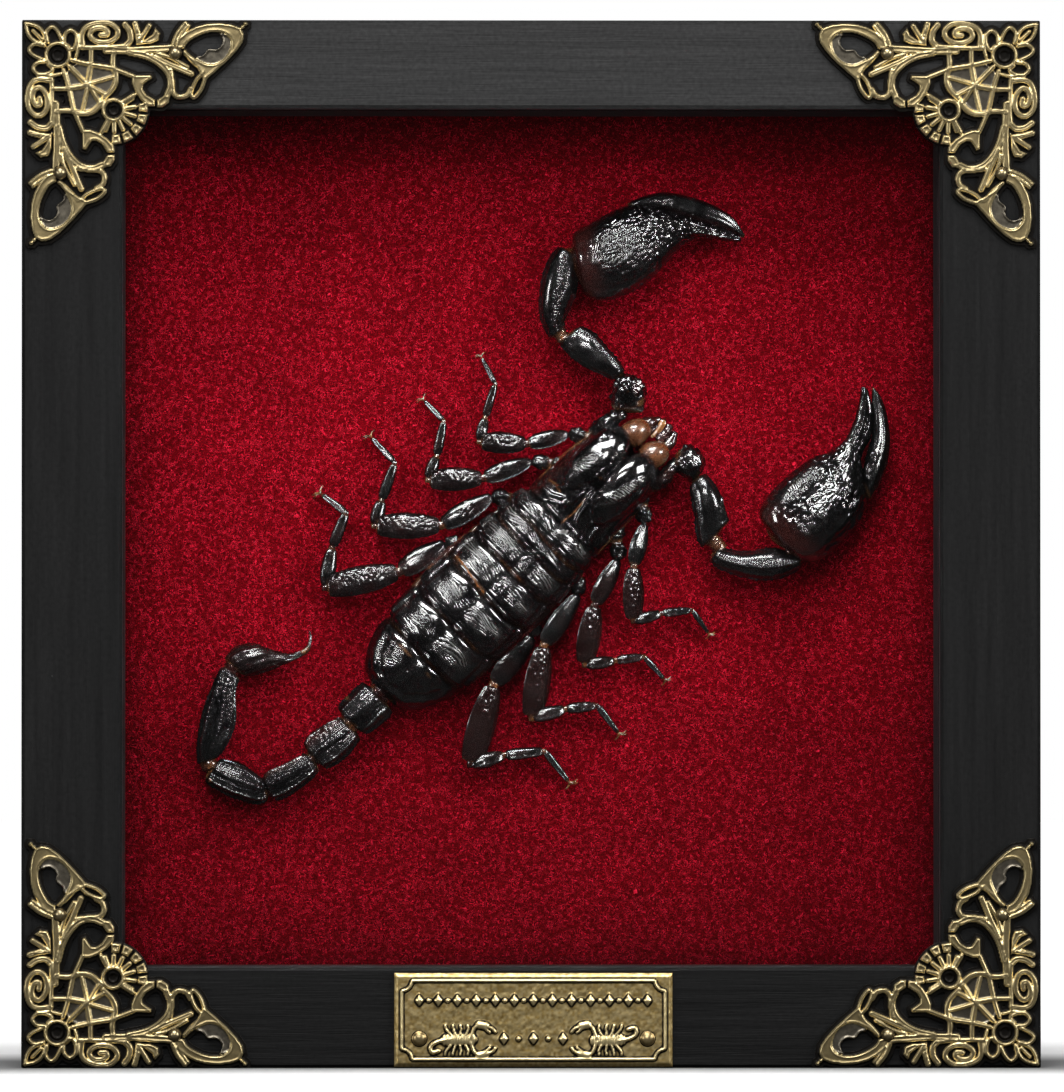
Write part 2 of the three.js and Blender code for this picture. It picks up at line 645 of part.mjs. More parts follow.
const pedipalps = {
  left: {
    coxa: [
      [53.2, 8.1, 2.6, 1.1, 1.8], [56.4, 7.7, 2.8, 1.8, 2.3], [59, 7.2, 3.4, 2.6, 2.8],
      [60, 8.6, 3.8, 2.4, 2.6], [60, 10, 3.9, 1.8, 2.2],
    ],
    femur: [
      [59.8, 10.9, 3.9, 1.9, 2.2], [59.8, 13, 4, 2.5, 2.6], [59, 17, 4, 2.8, 2.7],
      [58.6, 19.9, 3.9, 2.7, 2.6], [58.4, 21.4, 3.8, 1.9, 2.1],
    ],
    patella: [
      [58.8, 22.7, 3.9, 1.6, 2.2], [60.2, 24.9, 4.1, 2.6, 2.8], [62.5, 27.2, 4.2, 2.7, 3],
      [65.2, 29.4, 4.1, 2, 2.6], [66.9, 30.6, 4, 1.1, 1.9],
    ],
    hand: [
      [67.4, 27.3, 4.4, 2.4, 2.6], [68.8, 26, 4.8, 4.9, 4], [71, 24.8, 5.1, 6.2, 4.6],
      [74.6, 23.9, 5, 5.9, 4.5], [78, 22.6, 4.6, 4.4, 3.8], [81.2, 20.5, 4.2, 2.1, 2.9],
      [83.6, 18.1, 3.9, 1, 2.1], [85.6, 15.9, 3.7, 0.7, 1.5], [87.5, 13.1, 3.5, 0.25, 0.5],
    ],
    finger: [
      [81.6, 27.4, 3.6, 0.9, 1.6], [83.3, 25.6, 3.8, 1.6, 2.1], [85.1, 22.6, 3.8, 1.9, 2.1],
      [86.8, 19.2, 3.7, 1.5, 1.8], [88, 15.7, 3.6, 0.8, 1.1], [88.4, 13.5, 3.5, 0.25, 0.3],
    ],
  },
  right: {
    coxa: [
      [54.8, -5.8, 2.6, 1, 1.8], [56.2, -5.5, 2.9, 1.6, 2.3], [57.8, -5.1, 3.4, 1.9, 2.8],
      [59.2, -5.9, 3.8, 1.9, 2.6], [59.4, -7.1, 3.9, 1.6, 2.2],
    ],
    femur: [
      [58.7, -8.4, 3.9, 1.6, 2.2], [57.6, -10.8, 4, 2.3, 2.6], [55.6, -14, 4, 2.7, 2.7],
      [54, -16.2, 3.9, 2.5, 2.6], [53, -17.4, 3.8, 1.6, 2],
    ],
    patella: [
      [52.5, -19.1, 3.8, 1.4, 2], [53.6, -21.1, 4.1, 2.5, 2.8], [56, -24, 4.2, 3, 3],
      [58.7, -26.4, 4.1, 2.6, 2.8], [60.5, -28.2, 4, 1, 1.8],
    ],
    hand: [
      [60.9, -24.3, 4.4, 2.6, 2.6], [62, -24, 4.8, 4.8, 4], [65.2, -24.2, 5.1, 6.1, 4.6],
      [69.4, -24.2, 5, 6.1, 4.5], [73.2, -23.7, 4.6, 4.6, 3.8], [77.2, -21.7, 4.1, 1.7, 2.5],
      [80.3, -20.5, 3.9, 1.3, 1.9], [82.9, -18.7, 3.7, 1, 1.4], [85, -15.9, 3.5, 0.3, 0.4],
    ],
    finger: [
      [76.4, -27.7, 3.6, 0.9, 1.6], [78.4, -26.3, 3.8, 1.5, 2], [80.8, -24.3, 3.8, 1.4, 1.8],
      [83.3, -21.9, 3.7, 1.1, 1.4], [85.2, -19, 3.6, 0.7, 0.9], [85.9, -17.2, 3.5, 0.2, 0.3],
    ],
  },
};

// Legs: the joints from the body to the claws, as [x, y, z]
const legJoints = {
  left: [
    [
      [48.2, 9.6, 3], [42.5, 12.9, 4], [37.5, 18.1, 3.2],
      [40.7, 20.2, 2.4], [45.3, 22.8, 1.8], [46.6, 27.2, 0.9],
    ],
    [
      [41.4, 10.5, 3], [34.1, 13.7, 4.2], [27.9, 19.3, 3.2],
      [31.4, 21, 2.4], [35.8, 24.1, 1.8], [35.8, 28.5, 0.9],
    ],
    [
      [33.4, 10.8, 3], [24.6, 12.9, 4.2], [17.3, 19.8, 3.2],
      [20.8, 21.9, 2.4], [26.1, 24.6, 1.8], [26.2, 29.9, 0.9],
    ],
    [
      [23.4, 10.6, 3], [15.2, 12.2, 4.2], [5.5, 18.2, 3.2],
      [10.5, 21.9, 2.4], [15.6, 24.2, 1.8], [14.8, 28.9, 0.9],
    ],
  ],
  right: [
    [
      [47.2, -7.9, 3], [41.4, -11.5, 4], [35.7, -17.5, 3.2],
      [39.6, -19.6, 2.4], [43.3, -22.4, 1.8], [42.7, -26.7, 0.9],
    ],
    [
      [40.6, -9.2, 3], [33.1, -11.7, 4.2], [25.8, -17.2, 3.2],
      [29.7, -20, 2.4], [33.2, -22.5, 1.8], [33.1, -27.1, 0.9],
    ],
    [
      [32.6, -8.9, 3], [23.4, -10.8, 4.2], [14.5, -17.5, 3.2],
      [19.2, -20.1, 2.4], [23, -23, 1.8], [22.5, -28.2, 0.9],
    ],
    [
      [23.3, -8.8, 3], [13.8, -9.9, 4.2], [3, -16.2, 3.2],
      [7.7, -18.8, 2.4], [12.5, -22.5, 1.8], [12, -28.4, 0.9],
    ],
  ],
};
// Half widths of thigh, knee piece, shin, ankle and foot, at the near end, middle and far end
const legWidths = [
  [0.8, 1.6, 1],
  [1.1, 1.8, 1.1],
  [0.8, 1, 0.7],
  [0.6, 0.75, 0.6],
  [0.5, 0.55, 0.3],
];

function legGeometry(joints) {
  const pieces = legWidths.map((widths, k) => {
    const near = joints[k];
    const far = joints[k + 1];
    const stations = widths.map((width, i) => {
      const at = near.map((value, axis) => THREE.MathUtils.lerp(value, far[axis], i / 2));
      return [...at, width, Math.min(width, at[2] - GAP)];
    });
    return limb(stations, 6);
  });
  return joined(pieces);
}

function buildSpecimen() {
  const specimen = new THREE.Group();
  specimen.position.set(SPECIMEN_X, VELVET_FRONT, SPECIMEN_Z);
  specimen.rotation.set(Math.PI / 2, 0, HEADING);
  addMesh(specimen, 'carapace', buildCarapace(), SHELL);
  addMesh(specimen, 'abdomen', buildAbdomen(), SHELL);
  tailSegments.forEach((stations, k) => {
    addMesh(specimen, `tail_segment_${k + 1}`, limb(stations, 10), SHELL);
  });
  addMesh(specimen, 'telson', limb(telsonStations, 8), SHELL);
  Object.entries(chelicerae).forEach(([name, stations]) => {
    addMesh(specimen, name, limb(stations, 8), COPPER_SHELL);
  });
  Object.entries(pedipalps).forEach(([side, parts]) => {
    Object.entries(parts).forEach(([part, stations]) => {
      addMesh(specimen, `pedipalp_${part}_${side}`, limb(stations, 10), SHELL);
    });
  });
  Object.entries(legJoints).forEach(([side, legs]) => {
    legs.forEach((joints, k) => {
      addMesh(specimen, `leg_${side}_${k + 1}`, legGeometry(joints), SHELL);
    });
  });
  return specimen;
}

root.add(buildFrame(), buildLayers(), buildHanger(), buildCorners(), buildPlate(), buildSpecimen());

export default root;
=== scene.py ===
"""Framed scorpion specimen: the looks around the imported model.

The specimen is built in its own frame, in millimetres: x runs forward from the rear of the abdomen, y to the
animal's left, and z up from the velvet. The corner ornaments are drawn in millimetres from the outer corner
of the frame. Everything ends up in metres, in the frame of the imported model.
"""

import math

import bpy
import numpy as np
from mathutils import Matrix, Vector


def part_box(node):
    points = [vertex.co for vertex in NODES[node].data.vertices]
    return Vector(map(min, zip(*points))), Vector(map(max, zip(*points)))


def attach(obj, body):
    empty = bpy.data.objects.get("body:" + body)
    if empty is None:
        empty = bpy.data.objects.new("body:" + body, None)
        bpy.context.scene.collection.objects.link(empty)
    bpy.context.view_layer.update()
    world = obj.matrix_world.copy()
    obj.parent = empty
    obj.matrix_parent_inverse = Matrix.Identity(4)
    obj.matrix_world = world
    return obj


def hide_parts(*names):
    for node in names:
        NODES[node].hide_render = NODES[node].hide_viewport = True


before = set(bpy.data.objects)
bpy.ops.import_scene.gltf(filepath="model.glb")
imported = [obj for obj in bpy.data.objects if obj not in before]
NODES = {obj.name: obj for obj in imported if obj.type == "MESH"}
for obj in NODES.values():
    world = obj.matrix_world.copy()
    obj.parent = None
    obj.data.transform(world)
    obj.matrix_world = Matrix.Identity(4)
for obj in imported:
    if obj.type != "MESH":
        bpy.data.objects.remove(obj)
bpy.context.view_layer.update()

MM = 0.001
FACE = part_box("rail_top")[0].y / MM  # front of the rails
HALF_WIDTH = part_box("rail_right")[1].x / MM
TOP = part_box("rail_top")[1].z / MM
VELVET_LOW, VELVET_HIGH = (Vector(corner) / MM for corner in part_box("velvet_sheet"))
VELVET_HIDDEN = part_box("spacer_left")[1].x / MM - VELVET_LOW.x  # width of its edge under the lining

# Where the rear of the abdomen lies on the velvet, and which way the animal heads
SPECIMEN_X = -22.3
SPECIMEN_Z = 54.9
HEADING = math.radians(43.55)
GROOVE_Y = 1.2  # of the groove between the lobes of its front shield

SEED = 11


# Noise, in numpy

def hashed(cells, seed):
    """A number from 0 to 1 for each whole-numbered cell."""
    x, y, z = (cells[..., k].astype(np.int64).astype(np.uint64) for k in range(3))
    h = x * np.uint64(73856093) ^ y * np.uint64(19349663) ^ z * np.uint64(83492791)
    h = h ^ np.uint64((seed + SEED) * 2654435761)
    h = (h ^ (h >> np.uint64(29))) * np.uint64(0xBF58476D1CE4E5B9)
    h = (h ^ (h >> np.uint64(32))) * np.uint64(0x94D049BB133111EB)
    return ((h >> np.uint64(40)) & np.uint64(0xFFFF)).astype(float) / 0xFFFF


def noise(points, size, seed=0):
    """Smooth noise from -1 to 1 whose features are about size mm across."""
    scaled = points / size
    cell = np.floor(scaled)
    f = scaled - cell
    f = f * f * (3 - 2 * f)
    total = np.zeros(points.shape[:-1])
    for dx in (0, 1):
        for dy in (0, 1):
            for dz in (0, 1):
                corner = np.array([dx, dy, dz])
                weight = np.prod(np.where(corner == 1, f, 1 - f), axis=-1)
                total += weight * hashed(cell + corner, seed)
    return 2 * total - 1


def rough(points, size, seed=0, octaves=3):
    """Noise with finer noise on it."""
    return sum(noise(points, size / 2 ** k, seed + 7 * k) / 2 ** k for k in range(octaves)) / 1.7


def cells(points, size, seed=0):
    """Distances to the nearest and second nearest of scattered points, in units of size."""
    scaled = points / size
    cell = np.floor(scaled)
    nearest = np.full(points.shape[:-1], 9.0)
    second = np.full(points.shape[:-1], 9.0)
    for dx in (-1, 0, 1):
        for dy in (-1, 0, 1):
            for dz in (-1, 0, 1):
                there = cell + np.array([dx, dy, dz])
                jitter = np.stack([hashed(there, seed + k) for k in (1, 2, 3)], axis=-1)
                d = np.linalg.norm(there + 0.15 + 0.7 * jitter - scaled, axis=-1)
                second = np.minimum(second, np.maximum(nearest, d))
                nearest = np.minimum(nearest, d)
    return nearest, second


def grains(points, size, seed=0):
    """Small round domes, 1 at their tops, scattered size mm apart."""
    nearest, _ = cells(points, size, seed)
    return np.clip(1 - (nearest / 0.42) ** 2, 0, 1)


def bump(x, at, width):
    """A smooth hump of height 1."""
    return np.exp(-(((x - at) / width) ** 2))


def step(x, low, high):
    """From 0 at low to 1 at high, smoothly."""
    f = np.clip((x - low) / (high - low), 0, 1)
    return f * f * (3 - 2 * f)


# Meshes

def to_world(points):
    """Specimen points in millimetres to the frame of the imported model, in metres."""
    x, y, z = points[..., 0], points[..., 1], points[..., 2]
    c, s = math.cos(HEADING), math.sin(HEADING)
    world = np.stack([
        SPECIMEN_X + c * x - s * y,
        VELVET_LOW.y - z,
        SPECIMEN_Z + s * x + c * y,
    ], axis=-1)
    return world * MM


def add_mesh(name, vertices, faces, material, paint=None, folds=None):
    """A mesh object from points in metres. paint is a colour at each vertex, and folds a place across the
    finest wrinkles, in mm, and their strength."""
    mesh = bpy.data.meshes.new(name)
    mesh.from_pydata(np.asarray(vertices).tolist(), [], faces)
    mesh.validate()
    mesh.materials.append(material)
    mesh.polygons.foreach_set("use_smooth", [True] * len(mesh.polygons))
    for key, values in (("paint", paint), ("folds", folds)):
        if values is not None:
            layer = mesh.color_attributes.new(key, "FLOAT_COLOR", "POINT")
            full = np.ones((len(vertices), 4))
            full[:, :values.shape[1]] = values
            layer.data.foreach_set("color", full.ravel())
    mesh.update()
    piece = bpy.data.objects.new(name, mesh)
    bpy.context.scene.collection.objects.link(piece)
    return piece


def place(piece, slot, *nodes):
    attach(piece, "root")
    if nodes:
        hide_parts(*nodes)
    return piece


# Materials

class Finish:
    """A material, with short ways to add its nodes. Their sockets take numbers, colours or other outputs."""

    def __init__(self, name, stretch=(1, 1, 1)):
        self.material = bpy.data.materials.new(name)
        self.material.use_nodes = True
        self.tree = self.material.node_tree
        self.shader = self.tree.nodes["Principled BSDF"]
        self.spot = self.coordinates(stretch)

    def feed(self, socket, value):
        if hasattr(value, "is_output"):
            self.tree.links.new(value, socket)
        elif hasattr(value, "__len__"):
            socket.default_value = (*value, 1)[:len(socket.default_value)]
        else:
            socket.default_value = value

    def node(self, kind, **values):
        node = self.tree.nodes.new("ShaderNode" + kind)
        for key, value in values.items():
            if key in node.inputs:
                self.feed(node.inputs[key], value)
            else:
                setattr(node, key, value)
        return node

    def coordinates(self, stretch):
        source = self.node("TexCoord").outputs["Object"]
        return self.node("Mapping", Vector=source, Scale=stretch).outputs["Vector"]

    def ramp(self, source, *stops):
        """A colour ramp on source. Each stop is (place, grey) or (place, (r, g, b))."""
        node = self.node("ValToRGB", Fac=source)
        elements = node.color_ramp.elements
        while len(elements) < len(stops):
            elements.new(0.5)
        for element, (at, value) in zip(elements, stops):
            element.position = at
            colour = value if hasattr(value, "__len__") else (value,) * 3
            element.color = (*colour, 1)
        return node.outputs["Color"]

    def mix(self, factor, first, second, blend="MIX"):
        node = self.node("Mix", data_type="RGBA", blend_type=blend)
        for index, value in ((0, factor), (6, first), (7, second)):
            self.feed(node.inputs[index], value)
        return node.outputs[2]

    def tinted(self, colour, by):
        return self.mix(1.0, colour, by, "MULTIPLY")

    def maths(self, operation, first, second=0.0):
        node = self.node("Math", operation=operation)
        self.feed(node.inputs[0], first)
        self.feed(node.inputs[1], second)
        return node.outputs[0]

    def plus(self, first, second):
        return self.maths("ADD", first, second)

    def times(self, first, second):
        return self.maths("MULTIPLY", first, second)

    def noise(self, scale, detail=3.0, roughness=0.55, distortion=0.0, spot=None):
        spot = self.spot if spot is None else spot
        node = self.node("TexNoise", Vector=spot, Scale=scale, Detail=detail, Roughness=roughness,
                         Distortion=distortion)
        return node.outputs["Fac"]

    def specks(self, scale):
        """Distance from the nearest of scattered points."""
        return self.node("TexVoronoi", Vector=self.spot, Scale=scale).outputs["Distance"]

    def paint(self, layer="paint"):
        source = self.node("Attribute", attribute_name=layer)
        return self.node("SeparateColor", Color=source.outputs["Color"]).outputs[:3]

    def bump(self, height, strength, distance):
        node = self.node("Bump", Height=height, Strength=strength, Distance=distance)
        self.feed(self.shader.inputs["Normal"], node.outputs["Normal"])

    def surface(self, **values):
        """Fill the shader's sockets, whose names have _ for spaces here."""
        for key, value in values.items():
            self.feed(self.shader.inputs[key.replace("_", " ")], value)
        return self.material


def black_wood(name, along, tone, sheen=0.12):
    """Black stained wood with its grain along one axis. tone is its brightness: the stain's, and on the top
    rail also a painted sheen.
    """
    finish = Finish(name)
    stretch = [1.0, 1.0, 1.0]
    stretch["xyz".index(along)] = 0.035
    grain = finish.coordinates(stretch)
    streaks = finish.noise(900, detail=4, roughness=0.7, spot=grain)
    fine = finish.noise(3200, detail=2, spot=grain)
    colour = finish.ramp(streaks, (0.3, tone * 0.75), (0.55, tone), (0.8, tone * 1.4))
    colour = finish.tinted(colour, finish.ramp(finish.noise(1600), (0.3, 0.6), (0.7, 1.3)))
    speck = finish.ramp(finish.specks(210), (0.0, 1.0), (0.035, 0.0))
    rare = finish.ramp(finish.noise(60, detail=0), (0.6, 0.0), (0.64, 1.0))
    colour = finish.mix(finish.tinted(speck, rare), colour, (0.12, 0.12, 0.12))
    finish.bump(finish.plus(streaks, finish.times(fine, 0.5)), 0.5, 0.00014)
    roughness = finish.ramp(streaks, (0.3, 0.42), (0.7, 0.6))
    return finish.surface(Base_Color=colour, Roughness=roughness, Specular_IOR_Level=sheen)


def flat_black(name):
    """Matt black paint on the lining of the box."""
    finish = Finish(name)
    grain = finish.noise(1500)
    finish.bump(grain, 0.3, 0.0001)
    colour = finish.ramp(grain, (0.3, 0.0025), (0.7, 0.006))
    return finish.surface(Base_Color=colour, Roughness=0.75, Specular_IOR_Level=0.15)


def clear_glass():
    finish = Finish("clear_glass")
    return finish.surface(
        Base_Color=(1, 1, 1), Roughness=0.0, IOR=1.45, Transmission_Weight=1.0, Specular_IOR_Level=0.0,
    )


def red_velvet():
    """Deep red pile: curly dark and bright threads, and pale fibre tips here and there. Its paint darkens
    it towards the bottom, and near its edges as painted shade from the frame's walls."""
    finish = Finish("red_velvet", stretch=(1, 0.2, 1))
    base = finish.noise(1250, detail=2.5, roughness=0.5, distortion=0.9)
    curl = finish.ramp(finish.maths("SINE", finish.times(base, 55)), (0.35, 0.0), (1.0, 1.0))
    broken = finish.ramp(finish.noise(1500, detail=1), (0.4, 0.3), (0.6, 1.0))
    fuzz = finish.noise(4200, detail=2, roughness=0.6)
    threads = finish.times(curl, broken)
    pile = finish.plus(finish.times(threads, 0.55), finish.times(fuzz, 0.55))
    colour = finish.ramp(
        pile, (0.14, (0.022, 0.0, 0.0006)), (0.36, (0.085, 0.0002, 0.002)),
        (0.54, (0.22, 0.0012, 0.007)), (0.8, (0.5, 0.012, 0.034)),
    )
    colour = finish.tinted(colour, finish.ramp(finish.noise(90), (0.3, 0.86), (0.7, 1.1)))
    # the paint darkens it towards the bottom and paints shade near its edges
    colour = finish.tinted(colour, finish.paint()[0])
    tips = finish.ramp(finish.specks(1500), (0.0, 1.0), (0.16, 0.0))
    some = finish.ramp(finish.noise(1100, detail=0), (0.6, 0.0), (0.68, 1.0))
    colour = finish.mix(finish.tinted(tips, some), colour, (0.5, 0.05, 0.08))
    finish.bump(pile, 0.7, 0.00025)
    return finish.surface(
        Base_Color=colour, Roughness=0.95, Specular_IOR_Level=0.02, Sheen_Weight=0.02, Sheen_Roughness=0.4,
        Sheen_Tint=(1.0, 0.06, 0.1),
    )


HIGHLIGHT_AND_RUBBED_BRASS = (0.76, 0.62, 0.33)
DARK_GREY_METAL, LIGHT_GREY_METAL = (0.06, 0.052, 0.04), (0.17, 0.15, 0.115)
PATINA_AND_SHADE = (0.006, 0.005, 0.004)


def old_brass(name, dark, light):
    """Antiqued brass. Its paint is red where a recess is patinated dark, which round the corner strokes is
    also painted shade, green on raised edges, bright from wear and also a painted highlight, and blue where
    the metal is grey."""
    finish = Finish(name)
    patina_and_shade, rubbed_and_highlight, grey = finish.paint()
    mottle = finish.noise(1400, detail=4, roughness=0.65)
    metal = finish.ramp(mottle, (0.3, dark), (0.7, light))
    metal = finish.mix(grey, metal, finish.ramp(mottle, (0.3, DARK_GREY_METAL), (0.7, LIGHT_GREY_METAL)))
    # paint: green is bright from wear and a painted highlight; red is patina and, round the corner strokes,
    # painted shade
    metal = finish.mix(rubbed_and_highlight, metal, HIGHLIGHT_AND_RUBBED_BRASS)
    patina_and_shade_cover = finish.ramp(finish.plus(patina_and_shade, finish.times(mottle, 0.3)), (0.3, 0.0), (0.8, 1.0))
    finish.bump(mottle, 0.25, 0.00002)
    roughness = finish.ramp(patina_and_shade_cover, (0.0, 0.32), (1.0, 0.45))
    return finish.surface(Base_Color=finish.mix(patina_and_shade_cover, metal, PATINA_AND_SHADE), Metallic=0.9, Roughness=roughness)


FOLD_PITCH = 0.42  # mm between the finest wrinkles of the shell
RED_BROWN = (0.016, 0.0032, 0.0025)
SATIN_BLACK, SATIN_ROUGHNESS = (0.012, 0.0115, 0.011), (0.31, 0.31, 0.31)
DARK_TAN, LIGHT_TAN = (0.04, 0.014, 0.005), (0.2, 0.085, 0.028)


def horn(name, dark, light, roughness, gloss=0.72, grain=1.0):
    """Glossy dark shell. Its paint is red where thin tan skin shows, green where the shell is red-brown and
    thin, and blue where it has a satin sheen. Fine wrinkles break up the sheen where they are folded in."""
    finish = Finish(name)
    thin, ruddy, satin = finish.paint()
    across, strength, _ = finish.paint("folds")
    turns = finish.times(across, 2 * math.pi / FOLD_PITCH)
    wave = finish.maths("SINE", finish.plus(turns, finish.times(finish.noise(900, detail=2), 7)))
    valley = finish.ramp(wave, (0.0, 1.0), (0.5, 0.0))
    satin = finish.times(satin, finish.maths("SUBTRACT", 1, finish.times(strength, valley)))
    mottle = finish.noise(520, detail=4, roughness=0.6)
    colour = finish.ramp(mottle, (0.35, dark), (0.75, light))
    colour = finish.mix(ruddy, colour, RED_BROWN)
    colour = finish.mix(satin, colour, SATIN_BLACK)
    colour = finish.mix(thin, colour, finish.ramp(finish.noise(1800), (0.3, DARK_TAN), (0.7, LIGHT_TAN)))
    patches = finish.ramp(mottle, (0.3, roughness * 0.75), (0.7, roughness * 1.4))
    pits = finish.noise(2600, roughness=0.6)
    lumps = finish.noise(1100, detail=2)
    height = finish.times(finish.plus(finish.times(pits, 0.5), lumps), 0.09 * grain)
    finish.bump(finish.plus(height, finish.times(wave, strength)), 1.0, 0.00005)
    return finish.surface(
        Base_Color=colour, Roughness=finish.mix(satin, patches, SATIN_ROUGHNESS), IOR=1.8,
        Specular_IOR_Level=gloss,
    )


def plain_board(name, dark, light, scale=300):
    finish = Finish(name)
    fibres = finish.noise(scale, detail=5, roughness=0.7)
    finish.bump(fibres, 0.4, 0.0001)
    return finish.surface(Base_Color=finish.ramp(fibres, (0.3, dark), (0.7, light)), Roughness=0.85)


def zinc():
    finish = Finish("zinc_plate")
    spangle = finish.noise(700, detail=4)
    return finish.surface(
        Base_Color=finish.ramp(spangle, (0.3, 0.35), (0.7, 0.6)), Metallic=1.0,
        Roughness=finish.ramp(spangle, (0.3, 0.25), (0.7, 0.45)),
    )


def pale_floor():
    """It glows more further away and fades into the white backdrop. Near the frame's foot its glow drops away
    and its colour is darkened, a painted shadow.
    """
    finish = Finish("pale_floor")
    grain = finish.ramp(finish.noise(8, detail=2), (0.3, 0.86), (0.7, 0.88))
    position = finish.node("NewGeometry").outputs["Position"]
    split = finish.node("SeparateXYZ", Vector=position)
    squares = []
    for axis, half in (("X", HALF_WIDTH * MM), ("Y", -FACE * MM)):
        outside = finish.maths("SUBTRACT", finish.maths("ABSOLUTE", split.outputs[axis]), half)
        squares.append(finish.maths("POWER", finish.maths("MAXIMUM", outside, 0), 2))
    away = finish.maths("POWER", finish.plus(*squares), 0.5)
    # painted shadow: the colour darkens close to the frame's foot
    colour = finish.tinted(grain, finish.ramp(finish.times(away, 10), (0.0, 0.2), (0.5, 1.0)))
    glow = finish.ramp(finish.times(away, 2), (0.02, 0.0), (0.2, 0.35), (1.0, 1.0))
    return finish.surface(
        Base_Color=colour, Roughness=0.9, Specular_IOR_Level=0.0, Emission_Color=(1, 1, 1),
        Emission_Strength=glow,
    )


# Camera, light and floor

IMAGE_HEIGHT = 1092
VIEW_HEIGHT = IMAGE_HEIGHT * 0.14909 * MM  # of the image, at the front of the frame
CAMERA_DISTANCE = 1.7
CAMERA_FOOT = Vector((-0.022, 0, 0.047))  # the point of the frame that it stands square to
CAMERA_AIM = Vector((0.0001, 0, 0.0778))
SENSOR_WIDTH = 36
FLOOR_HALF = 6.0
BACKDROP, FILL_LIGHT = 1.0, 0.012  # strength of the surroundings, as seen and as they light the frame
FRAME_MIDDLE = Vector((0, 0, 0.078))
# Name, place, width and height in metres, and power in watts
LAMPS = (
    ("lamp_above", (-0.1, -0.7, 1.0), 0.8, 0.45, 17),
    ("lamp_right", (0.95, -0.7, 0.45), 0.45, 0.45, 10),
    ("lamp_left", (-0.9, -0.7, 0.2), 0.3, 0.3, 3),
    ("lamp_front", (-0.15, -1.9, 0.85), 0.6, 0.4, 11),
)


def add_camera():
    data = bpy.data.cameras.new("camera")
    camera = bpy.data.objects.new("camera", data)
    bpy.context.scene.collection.objects.link(camera)
    face = FACE * MM
    camera.location = CAMERA_FOOT + Vector((0, face - CAMERA_DISTANCE, 0))
    aim = CAMERA_AIM + Vector((0, face, 0))
    camera.rotation_euler = (aim - camera.location).to_track_quat("-Z", "Y").to_euler()
    data.sensor_width = SENSOR_WIDTH
    data.lens = SENSOR_WIDTH * CAMERA_DISTANCE / VIEW_HEIGHT
    data.clip_start = 0.1
    data.clip_end = 50
    bpy.context.scene.camera = camera


def add_lamps():
    for name, location, width, height, power in LAMPS:
        data = bpy.data.lights.new(name, "AREA")
        data.shape = "RECTANGLE"
        data.size = width
        data.size_y = height
        data.energy = power
        lamp = bpy.data.objects.new(name, data)
        lamp.location = location
        lamp.rotation_euler = (FRAME_MIDDLE - Vector(location)).to_track_quat("-Z", "Y").to_euler()
        bpy.context.scene.collection.objects.link(lamp)


def add_stage():
    scene = bpy.context.scene
    scene.view_settings.view_transform = "Standard"
    world = bpy.data.worlds.new("studio")
    scene.world = world
    world.use_nodes = True
    tree = world.node_tree
    background = tree.nodes["Background"]
    path = tree.nodes.new("ShaderNodeLightPath")
    shade = tree.nodes.new("ShaderNodeMapRange")
    shade.inputs["To Min"].default_value = FILL_LIGHT
    shade.inputs["To Max"].default_value = BACKDROP
    tree.links.new(path.outputs["Is Camera Ray"], shade.inputs["Value"])
    tree.links.new(shade.outputs["Result"], background.inputs["Strength"])
    background.inputs["Color"].default_value = (1, 1, 1, 1)
    corners = [(FLOOR_HALF * x, FLOOR_HALF * y, 0) for x, y in ((-1, -1), (1, -1), (1, 1), (-1, 1))]
    floor = add_mesh("floor", corners, [(0, 1, 2, 3)], pale_floor())
    floor.visible_glossy = False
    floor.visible_transmission = False
    add_lamps()


# Rails, lining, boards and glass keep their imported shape.

def finish_frame():
    finishes = {
        # The top rail's lighter tone is painted sheen, standing in for light from above; the bottom rail is a
        # shade darker than the sides
        "rail_top": black_wood("wood_top_painted_sheen", "x", 0.013, 0.18),
        "rail_bottom": black_wood("wood_bottom", "x", 0.0035),
        "rail_left": black_wood("wood_side", "z", 0.004),
        "glass_pane": clear_glass(),
        "mount_board": plain_board("grey_card", (0.09, 0.075, 0.06), (0.16, 0.14, 0.12)),
        "back_board": plain_board("hardboard", (0.10, 0.055, 0.028), (0.22, 0.13, 0.07), 220),
        "hanger_plate": zinc(),
    }
    lining = flat_black("black_lining")
    finishes.update({f"spacer_{side}": lining for side in ("top", "bottom", "left", "right")})
    finishes["rail_right"] = finishes["rail_left"]
    finishes["hanger_screw_left"] = finishes["hanger_screw_right"] = finishes["hanger_plate"]
    for node, material in finishes.items():
        mesh = NODES[node].data
        mesh.materials.clear()
        mesh.materials.append(material)
    NODES["glass_pane"].visible_shadow = False


VELVET_PITCH = 1.7


def grid_faces(rows, columns):
    """Faces of a grid of points, and the points round its rim in order."""
    index = np.arange(rows * columns).reshape(rows, columns)
    quads = np.stack([index[:-1, :-1], index[:-1, 1:], index[1:, 1:], index[1:, :-1]], axis=-1).reshape(-1, 4)
    rim = np.concatenate([index[0], index[1:, -1], index[-1, -2::-1], index[-2:0:-1, 0]])
    return quads, rim


